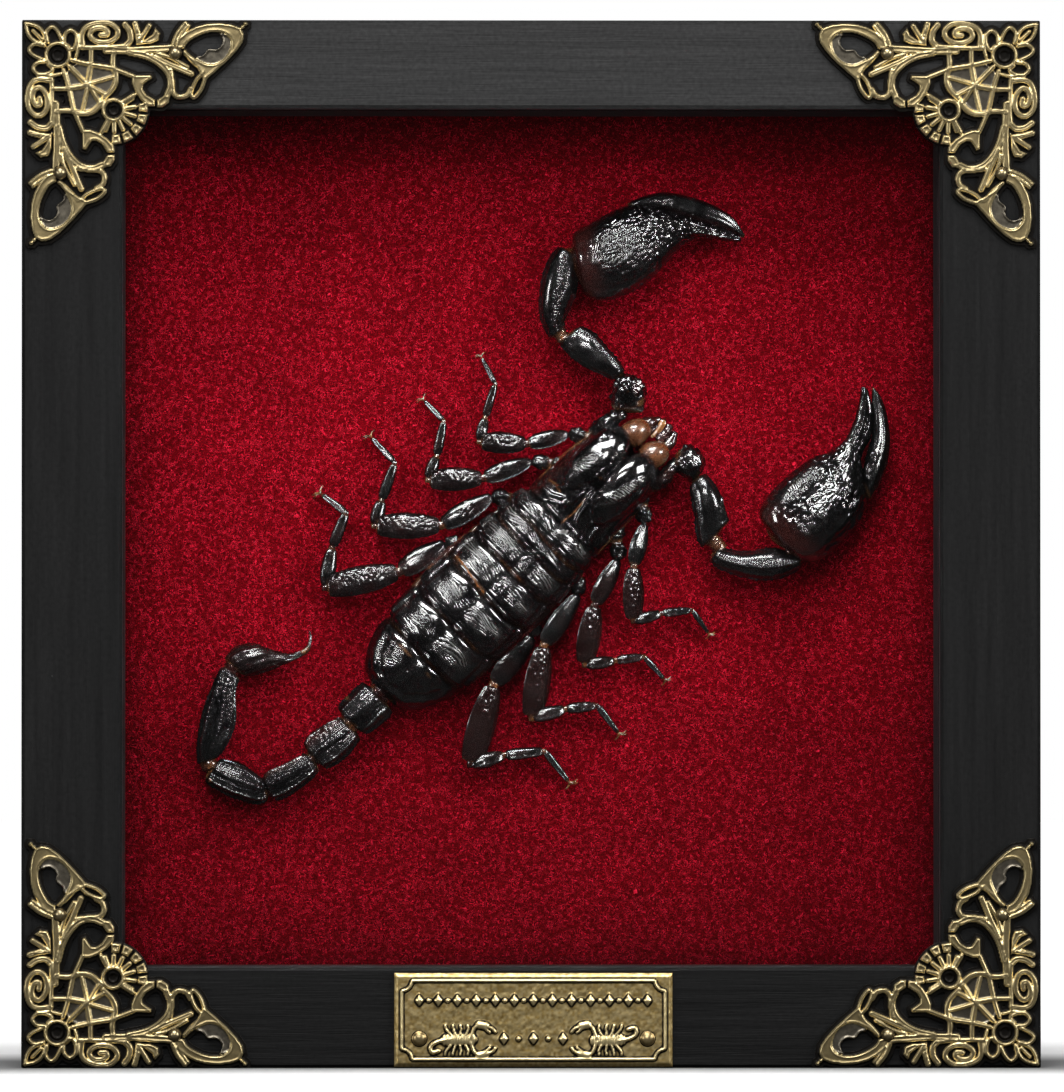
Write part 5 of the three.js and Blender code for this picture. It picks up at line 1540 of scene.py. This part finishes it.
def depth_in(x, y, outline):
    """Distance inside a closed outline, negative outside it."""
    closed = outline + outline[:1]
    inside = np.zeros(x.shape, bool)
    for (ax, ay), (bx, by) in zip(closed, closed[1:]):
        if ay != by:
            inside ^= ((ay > y) != (by > y)) & (x < ax + (y - ay) * (bx - ax) / (by - ay))
    return distance_to(x, y, closed) * np.where(inside, 1, -1)


class Casting:
    """Height over the wood of a cast piece, built up shape by shape over a grid of places. outline is the
    distance outside the metal, negative inside it. rubbed_and_highlight is 1 where the metal is bright from
    wear, which also paints a highlight on the shoulders of the strokes."""

    def __init__(self, u, v):
        self.u, self.v = u, v
        self.outline = np.full(u.shape, 9.0)
        self.height = np.full(u.shape, FLANGE_TOP)
        self.rubbed_and_highlight = np.zeros(u.shape)
        self.grey = np.zeros(u.shape)

    def cover(self, distance):
        self.outline = np.minimum(self.outline, distance)

    def fill(self, depth, level):
        """A low grey web between the strokes, with a thin rim and shaded towards them."""
        lower = (depth > 0) & (self.height < level)
        self.cover(-depth)
        self.height = np.where(lower, level + 0.2 * bump(depth, 0.15, 0.12), self.height)
        self.grey = np.where(lower, 1, self.grey)

    def raise_by(self, depth, crest=CREST, flange=FLANGE, fillet=0.36, sunk=0.12):
        """Raise a shape with rounded shoulders. depth is measured in from its edge. The middle of a wide
        shape is sunk a little and left dull."""
        foot = FLANGE_TOP - 0.2
        round_off = step(depth, -0.06, fillet)
        middle = step(depth, 0.34, 0.56)
        height = foot + (crest - foot) * round_off - sunk * middle
        taken = height > self.height
        self.height = np.where(taken, height, self.height)
        # bright from wear round the shoulders, which is also a painted highlight
        worn_and_highlight = step(depth, 0.0, 0.12) * (1 - 0.8 * step(depth, 0.2, 0.42))
        self.rubbed_and_highlight = np.where(taken, worn_and_highlight, self.rubbed_and_highlight)
        self.grey = np.where(taken, 0, self.grey)
        self.cover(-depth - flange)

    def stroke(self, line, width, crest=CREST, at=None):
        u, v = at or (self.u, self.v)
        self.raise_by(width / 2 + SHOULDER - distance_to(u, v, smooth(line)), crest)


def corner_casting(u, v):
    cast = Casting(u, v)
    for at in ((u, v), side_arm(u, v)):
        for width, line in ARM_STROKES:
            cast.stroke(line, width, at=at)
        hole = depth_in(*at, smooth(LOOP_HOLE + LOOP_HOLE[:1])[:-1])
        cast.raise_by(np.minimum(depth_in(*at, LOOP), -hole) + 0.06, crest=CREST + 0.05)
        for outline in ARM_SOLIDS:
            cast.raise_by(depth_in(*at, outline) + 0.12)
        for (bu, bv), radius in BALLS:
            cast.raise_by(radius - np.hypot(at[0] - bu, at[1] - bv), fillet=radius)
        leaf = depth_in(*at, smooth(LOOP_LEAF + LOOP_LEAF[:1])[:-1])
        cast.fill(np.minimum(leaf, hole + 0.4), 0.9)
        seat = np.hypot(at[0] - NAIL_AT[0], at[1] - NAIL_AT[1])
        cast.cover(seat - NAIL_RADIUS - 0.3)
    for width, line in MIDDLE_STROKES:
        cast.stroke(line, width)
    for at, outer, hole in (CORNER_RING, INNER_RING):
        r = np.hypot(u - at[0], v - at[1])
        cast.raise_by((outer - hole) / 2 + 0.05 - np.abs(r - (outer + hole) / 2), crest=CREST + 0.1)
    # Sunk web of the lattice, its petals, and the fan of spokes and tiles round the inner ring
    web = depth_in(u, v, WEB + [(b, a) for a, b in reversed(WEB)])
    cast.fill(web, 0.85)
    cast.cover(np.hypot(u - 4.6, v - 4.6) - 2.6)
    (cu, cv), _, _ = INNER_RING
    r = np.hypot(u - cu, v - cv)
    angle = np.degrees(np.arctan2(v - cv, u - cu))
    for spoke in FAN_ANGLES:
        a = math.radians(spoke)
        line = [(cu + q * math.cos(a), cv + q * math.sin(a)) for q in (1.9, 3.25)]
        cast.stroke(line, 0.62, crest=CREST - 0.1)
    near, far, half_angle = TILE
    for tile in TILE_ANGLES:
        across = np.radians(half_angle - np.abs(angle - tile)) * r
        cast.raise_by(np.minimum(across, np.minimum(r - near, far - r)), crest=CREST, flange=0.15, sunk=0.2)
    fan = np.maximum(r - 4.6, np.abs(angle - 40) / 90 * 4 - 3.6)
    cast.cover(np.maximum(fan, 1.6 - r))
    for at, _, hole in (CORNER_RING, INNER_RING):
        # A dark dimple with a faint ring in it
        r = np.hypot(u - at[0], v - at[1])
        inside = r < hole - 0.08
        cast.cover(r - hole - 0.4)
        cast.height = np.where(inside, FLANGE_TOP - 0.1 + 0.22 * bump(r, 0.62 * hole, 0.14), cast.height)
        cast.rubbed_and_highlight = np.where(inside, 0, cast.rubbed_and_highlight)
        cast.grey = np.where(inside, 0, cast.grey)
    return cast


def cast_mesh(u, v, cast, pitch, noise_seed):
    """Vertices over the grid, their faces and paint. Vertices just outside the metal are pulled onto its
    edge, and walls go down to the wood."""
    gu, gv = np.gradient(cast.outline, pitch)[::-1]
    size = np.maximum(gu * gu + gv * gv, 0.2)
    outside = cast.outline > 0
    shift = np.where(outside, np.clip(cast.outline, 0, 1.5 * pitch), 0)
    flat = np.stack([u - shift * gu / size, v - shift * gv / size], axis=-1)
    height = np.where(cast.outline > -0.02, np.minimum(cast.height, FLANGE_TOP), cast.height)
    spot = np.concatenate([flat, 0 * u[..., None]], axis=-1)
    height = height + 0.02 * rough(spot, 1.4, noise_seed)
    rows, columns = u.shape
    index = np.arange(rows * columns).reshape(rows, columns)
    corners = [index[:-1, :-1], index[:-1, 1:], index[1:, 1:], index[1:, :-1]]
    inside = ~outside.ravel()
    count = sum(inside[c].astype(int) for c in corners)
    near = np.ones_like(count, bool)
    for c in corners:
        near &= cast.outline.ravel()[c] < 1.45 * pitch
    kept = (count > 0) & near
    quads = np.stack([c[kept] for c in corners], axis=-1)
    # Edges with one face only are the metal's border
    edges = np.concatenate([quads[:, [k, (k + 1) % 4]] for k in range(4)])
    key = np.sort(edges, axis=1)
    code = key[:, 0] * rows * columns + key[:, 1]
    _, first, times = np.unique(code, return_index=True, return_counts=True)
    border = edges[first[times == 1]]
    used, renumbered = np.unique(quads, return_inverse=True)
    quads = renumbered.reshape(quads.shape)
    place_of = np.full(rows * columns, -1)
    place_of[used] = np.arange(len(used))
    border = place_of[border]
    rim = np.unique(border)
    foot_of = np.full(len(used), -1)
    foot_of[rim] = len(used) + np.arange(len(rim))
    walls = np.stack([border[:, 1], border[:, 0], foot_of[border[:, 0]], foot_of[border[:, 1]]], axis=-1)
    top = np.concatenate([flat.reshape(-1, 2)[used], height.ravel()[used, None]], axis=1)
    foot = top[rim].copy()
    foot[:, 2] = 0
    vertices = np.vstack([top, foot])
    paint = np.zeros((len(vertices), 3))
    # red is patina and, on the flange round each stroke, painted shade; green is bright from wear, also a
    # painted highlight
    rise = step(top[:, 2], FLANGE_TOP + 0.02, FLANGE_TOP + 0.4)
    paint[:len(used), 0] = 1 - rise
    paint[:len(used), 1] = cast.rubbed_and_highlight.ravel()[used] * rise
    paint[:len(used), 2] = cast.grey.ravel()[used]
    paint[len(used):, 0] = 1
    return vertices, np.vstack([quads, walls]), paint


def add_corners(material):
    places = np.arange(-0.3, CORNER_REACH + 0.6, CORNER_PITCH)
    u, v = np.meshgrid(places, places)
    cast = corner_casting(u, v)
    vertices, faces, paint = cast_mesh(u, v, cast, CORNER_PITCH, 71)
    vertices[:, :2] = np.clip(vertices[:, :2], 0.1, CORNER_REACH)
    for level, up in (("top", 1), ("bottom", -1)):
        for side, right in (("left", -1), ("right", 1)):
            x = right * (HALF_WIDTH - vertices[:, 0])
            z = TOP - vertices[:, 1] if up > 0 else vertices[:, 1]
            y = FACE - vertices[:, 2]
            turned = faces if right * up > 0 else faces[:, ::-1]
            points = np.stack([x, y, z], axis=1) * MM
            piece = add_mesh(f"{level}_{side}_ornament", points, turned.tolist(), material, paint)
            place(piece, "brass", f"corner_{level}_{side}")
            add_nails(level, side, up, right, material)


def head_points(radius, height, seat):
    """A round nail head with a sunk ring at its foot, as a profile turned round its axis."""
    profile = [(radius * 1.12, -seat), (radius * 1.12, 0.08), (radius * 1.02, 0.1), (radius, 0.22)]
    profile += [(radius * math.cos(a), height * math.sin(a)) for a in np.radians((20, 35, 50, 65, 78))]
    turn = np.linspace(0, 2 * math.pi, 40, endpoint=False)
    rings = [[(r * math.cos(a), r * math.sin(a), h) for a in turn] for r, h in profile]
    points = np.array(rings).reshape(-1, 3)
    points = np.vstack([points, [[0, 0, height]]])
    faces = []
    for k in range(len(profile) - 1):
        for j in range(len(turn)):
            a, b = k * len(turn) + j, k * len(turn) + (j + 1) % len(turn)
            faces.append((a, b, b + len(turn), a + len(turn)))
    last = (len(profile) - 1) * len(turn)
    for j in range(len(turn)):
        faces.append((last + j, last + (j + 1) % len(turn), len(points) - 1))
    paint = np.zeros((len(points), 3))
    # red darkens the foot; green brightens the top from wear, also a painted highlight
    paint[:, 0] = 0.1 + 0.9 * step(points[:, 2], 0.35 * height, 0.05)
    paint[:, 1] = 0.3 * step(points[:, 2], 0.6 * height, height)
    paint[:, 2] = 0.5
    return points, faces, paint


def add_head(name, x, y, z, radius, height, seat, material, node):
    """A head at x and z that stands towards -y."""
    points, faces, paint = head_points(radius, height, seat)
    dent = rough(points + [x, z, 0], 0.8, 73)
    points[:, 2] += 0.04 * dent * (points[:, 2] > 0.1)
    world = np.stack([x + points[:, 0], y - points[:, 2], z + points[:, 1]], axis=1) * MM
    piece = add_mesh(name, world, faces, material, paint)
    place(piece, "brass", node)


def add_nails(level, side, up, right, material):
    nail_u, nail_v = NAIL_AT
    along, lean = nail_u, nail_v + SPLAY * (SPLAY_TO - SPLAY_FROM)
    for arm, (u, v) in (("across", (nail_u, nail_v)), ("upright", (lean, along))):
        x = right * (HALF_WIDTH - u)
        z = TOP - v if up > 0 else v
        seat_y = FACE - 1.25
        name = f"{level}_{side}_{arm}_nail"
        add_head(name, x, seat_y, z, NAIL_RADIUS, 1.0, 0.8, material, f"nail_{level}_{side}_{arm}")


# Name plate

PLATE_LOW, PLATE_HIGH = (Vector(corner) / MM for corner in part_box("name_plate"))
PLATE_MIDDLE_X = (PLATE_LOW.x + PLATE_HIGH.x) / 2
PLATE_WIDTH = PLATE_HIGH.x - PLATE_LOW.x
PLATE_HEIGHT = PLATE_HIGH.z - PLATE_LOW.z
PLATE_THICKNESS = 0.9
PLATE_RELIEF = 0.42
PLATE_PITCH = 0.16
RIVET_SPACING, RIVET_LEVEL, RIVET_RADIUS = 34, 4.4, 1.1  # the level is over the foot of the frame
BORDER_INSET, BORDER_WIDTH, NOTCH = 1.15, 0.5, 1.5

# The left relief scorpion, in mm from its waist, head towards +x. The right one is the same, turned round.
RELIEF_SCORPION = [
    ([(-2.2, 0.1), (-3.8, -0.2), (-4.9, -0.9), (-4.7, -1.8), (-3.7, -1.6)], 0.65),
    ([(-2.6, 0), (0.2, 0.1), (1.2, 0.1)], 1.9),
]
for flip in (1, -1):
    RELIEF_SCORPION.append(([(1, 0.3 * flip), (1.6, 1.8 * flip), (2.4, 2.3 * flip)], 0.55))
    RELIEF_SCORPION.append(([(2.3, 2.3 * flip), (3.3, 2.1 * flip)], 1.25))
    RELIEF_SCORPION.append(([(3.3, 2.1 * flip), (4.3, 1.7 * flip), (4.7, 1.2 * flip)], 0.5))
    RELIEF_SCORPION.append(([(3, 1.9 * flip), (3.9, 1.1 * flip)], 0.4))
    for hip, knee in ((0.3, 0.7), (-0.5, -0.4), (-1.2, -1.5), (-1.9, -2.6)):
        RELIEF_SCORPION.append(([(hip, 0.8 * flip), (knee, 1.6 * flip), (knee - 0.1, 2.2 * flip)], 0.36))
RELIEF_SCORPION_AT = (10.4, 4)
LOZENGE_RULES = ((9.9, 17, 13), (4.2, 4.4, 3))  # level, half length and number of lozenges
LOZENGE = (0.85, 1.2)


def add_plate(material):
    columns, rows = (int(size / PLATE_PITCH) + 1 for size in (PLATE_WIDTH, PLATE_HEIGHT))
    half_width, half_height = PLATE_WIDTH / 2, PLATE_HEIGHT / 2
    x, z = np.meshgrid(np.linspace(-half_width, half_width, columns), np.linspace(0, PLATE_HEIGHT, rows))
    relief = np.zeros_like(x)

    def bead(distance, width, crest=PLATE_RELIEF):
        return crest * np.sqrt(np.clip(1 - (2 * distance / width) ** 2, 0, 1))

    # Border line, scooped round each corner
    side = half_width - BORDER_INSET - np.abs(x)
    level = half_height - BORDER_INSET - np.abs(z - half_height)
    straight = np.minimum(np.abs(side) + 9 * (level < NOTCH), np.abs(level) + 9 * (side < NOTCH))
    scoop = np.abs(np.hypot(side, level) - NOTCH) + 9 * ((side < -0.1) | (level < -0.1))
    border = np.minimum(straight, scoop)
    relief = np.maximum(relief, bead(border, BORDER_WIDTH))
    out, up = RELIEF_SCORPION_AT
    for turn in (1, -1):
        for line, width in RELIEF_SCORPION:
            moved = [(turn * (a - out), up + turn * b) for a, b in smooth(line, 4)]
            d = distance_to(x, z, moved)
            stripes = 1 - 0.35 * (0.5 + 0.5 * np.sin(2 * math.pi * x / 0.55)) * (width > 1.5)
            relief = np.maximum(relief, bead(d, width) * stripes)
    for rule_level, half, count in LOZENGE_RULES:
        for at in np.linspace(-half, half, count):
            r = np.abs(x - at) / LOZENGE[0] + np.abs(z - rule_level) / LOZENGE[1]
            relief = np.maximum(relief, PLATE_RELIEF * np.clip(1.25 - 1.25 * r, 0, 1) ** 0.7)
        for at in np.linspace(-half, half, 2 * count - 1)[1::2]:
            relief = np.maximum(relief, bead(np.hypot(x - at, z - rule_level), 0.8))
    flat = np.stack([x, z, np.zeros_like(x)], axis=-1)
    edge = np.minimum(half_width - np.abs(x), half_height - np.abs(z - half_height))
    bevel = 0.35 * step(edge, 0.55, 0.0)
    height = PLATE_THICKNESS + relief - bevel + 0.035 * rough(flat, 0.7, 81)
    quads, rim = grid_faces(rows, columns)
    top = np.stack([x.ravel(), height.ravel(), z.ravel()], axis=1)
    foot = top[rim] * [1, 0, 1]
    start = len(top)
    following = np.roll(np.arange(len(rim)), -1)
    walls = np.stack([rim[following], rim, start + np.arange(len(rim)), start + following], axis=-1)
    back = start + np.arange(len(rim))[::-1]
    vertices = np.vstack([top, foot])
    world = np.stack([
        PLATE_MIDDLE_X + vertices[:, 0], FACE - 0.1 - vertices[:, 1], PLATE_LOW.z + vertices[:, 2],
    ], axis=1) * MM
    # raised parts are bright from wear, also a painted highlight
    lit = step(relief, 0.1, PLATE_RELIEF * 0.8)
    # Patina stays round whatever is raised
    spread = relief.copy()
    for _ in range(5):
        spread = (spread + sum(np.roll(spread, move, axis) for axis in (0, 1) for move in (-1, 1))) / 5
    halo = step(spread, 0.004, 0.09) * (1 - lit)
    paint = np.zeros((len(vertices), 3))
    paint[:start, 0] = np.clip(0.08 * noise(flat, 0.5, 82) + 0.85 * halo - 0.2 * lit, 0, 1).ravel()
    paint[:start, 1] = np.maximum(lit, 0.33 + 0.3 * noise(flat, 0.35, 83)).ravel()
    paint[start:, 0] = 0.8
    faces = quads.tolist() + walls.tolist() + [back.tolist()]
    piece = add_mesh("engraved_plate", world, faces, material, paint)
    place(piece, "brass", "name_plate")
    for name, sign in (("left", -1), ("right", 1)):
        add_head(
            f"{name}_rivet", PLATE_MIDDLE_X + sign * RIVET_SPACING / 2, FACE - 0.1 - PLATE_THICKNESS,
            RIVET_LEVEL, RIVET_RADIUS, 0.62, 0.3, material, f"plate_rivet_{name}",
        )


def build_brass():
    add_corners(old_brass("corner_brass", (0.07, 0.051, 0.022), (0.165, 0.119, 0.05)))
    add_plate(old_brass("plate_brass", (0.2, 0.127, 0.035), (0.43, 0.28, 0.075)))


add_camera()
add_stage()
finish_frame()
add_velvet()
build_specimen()
build_brass()
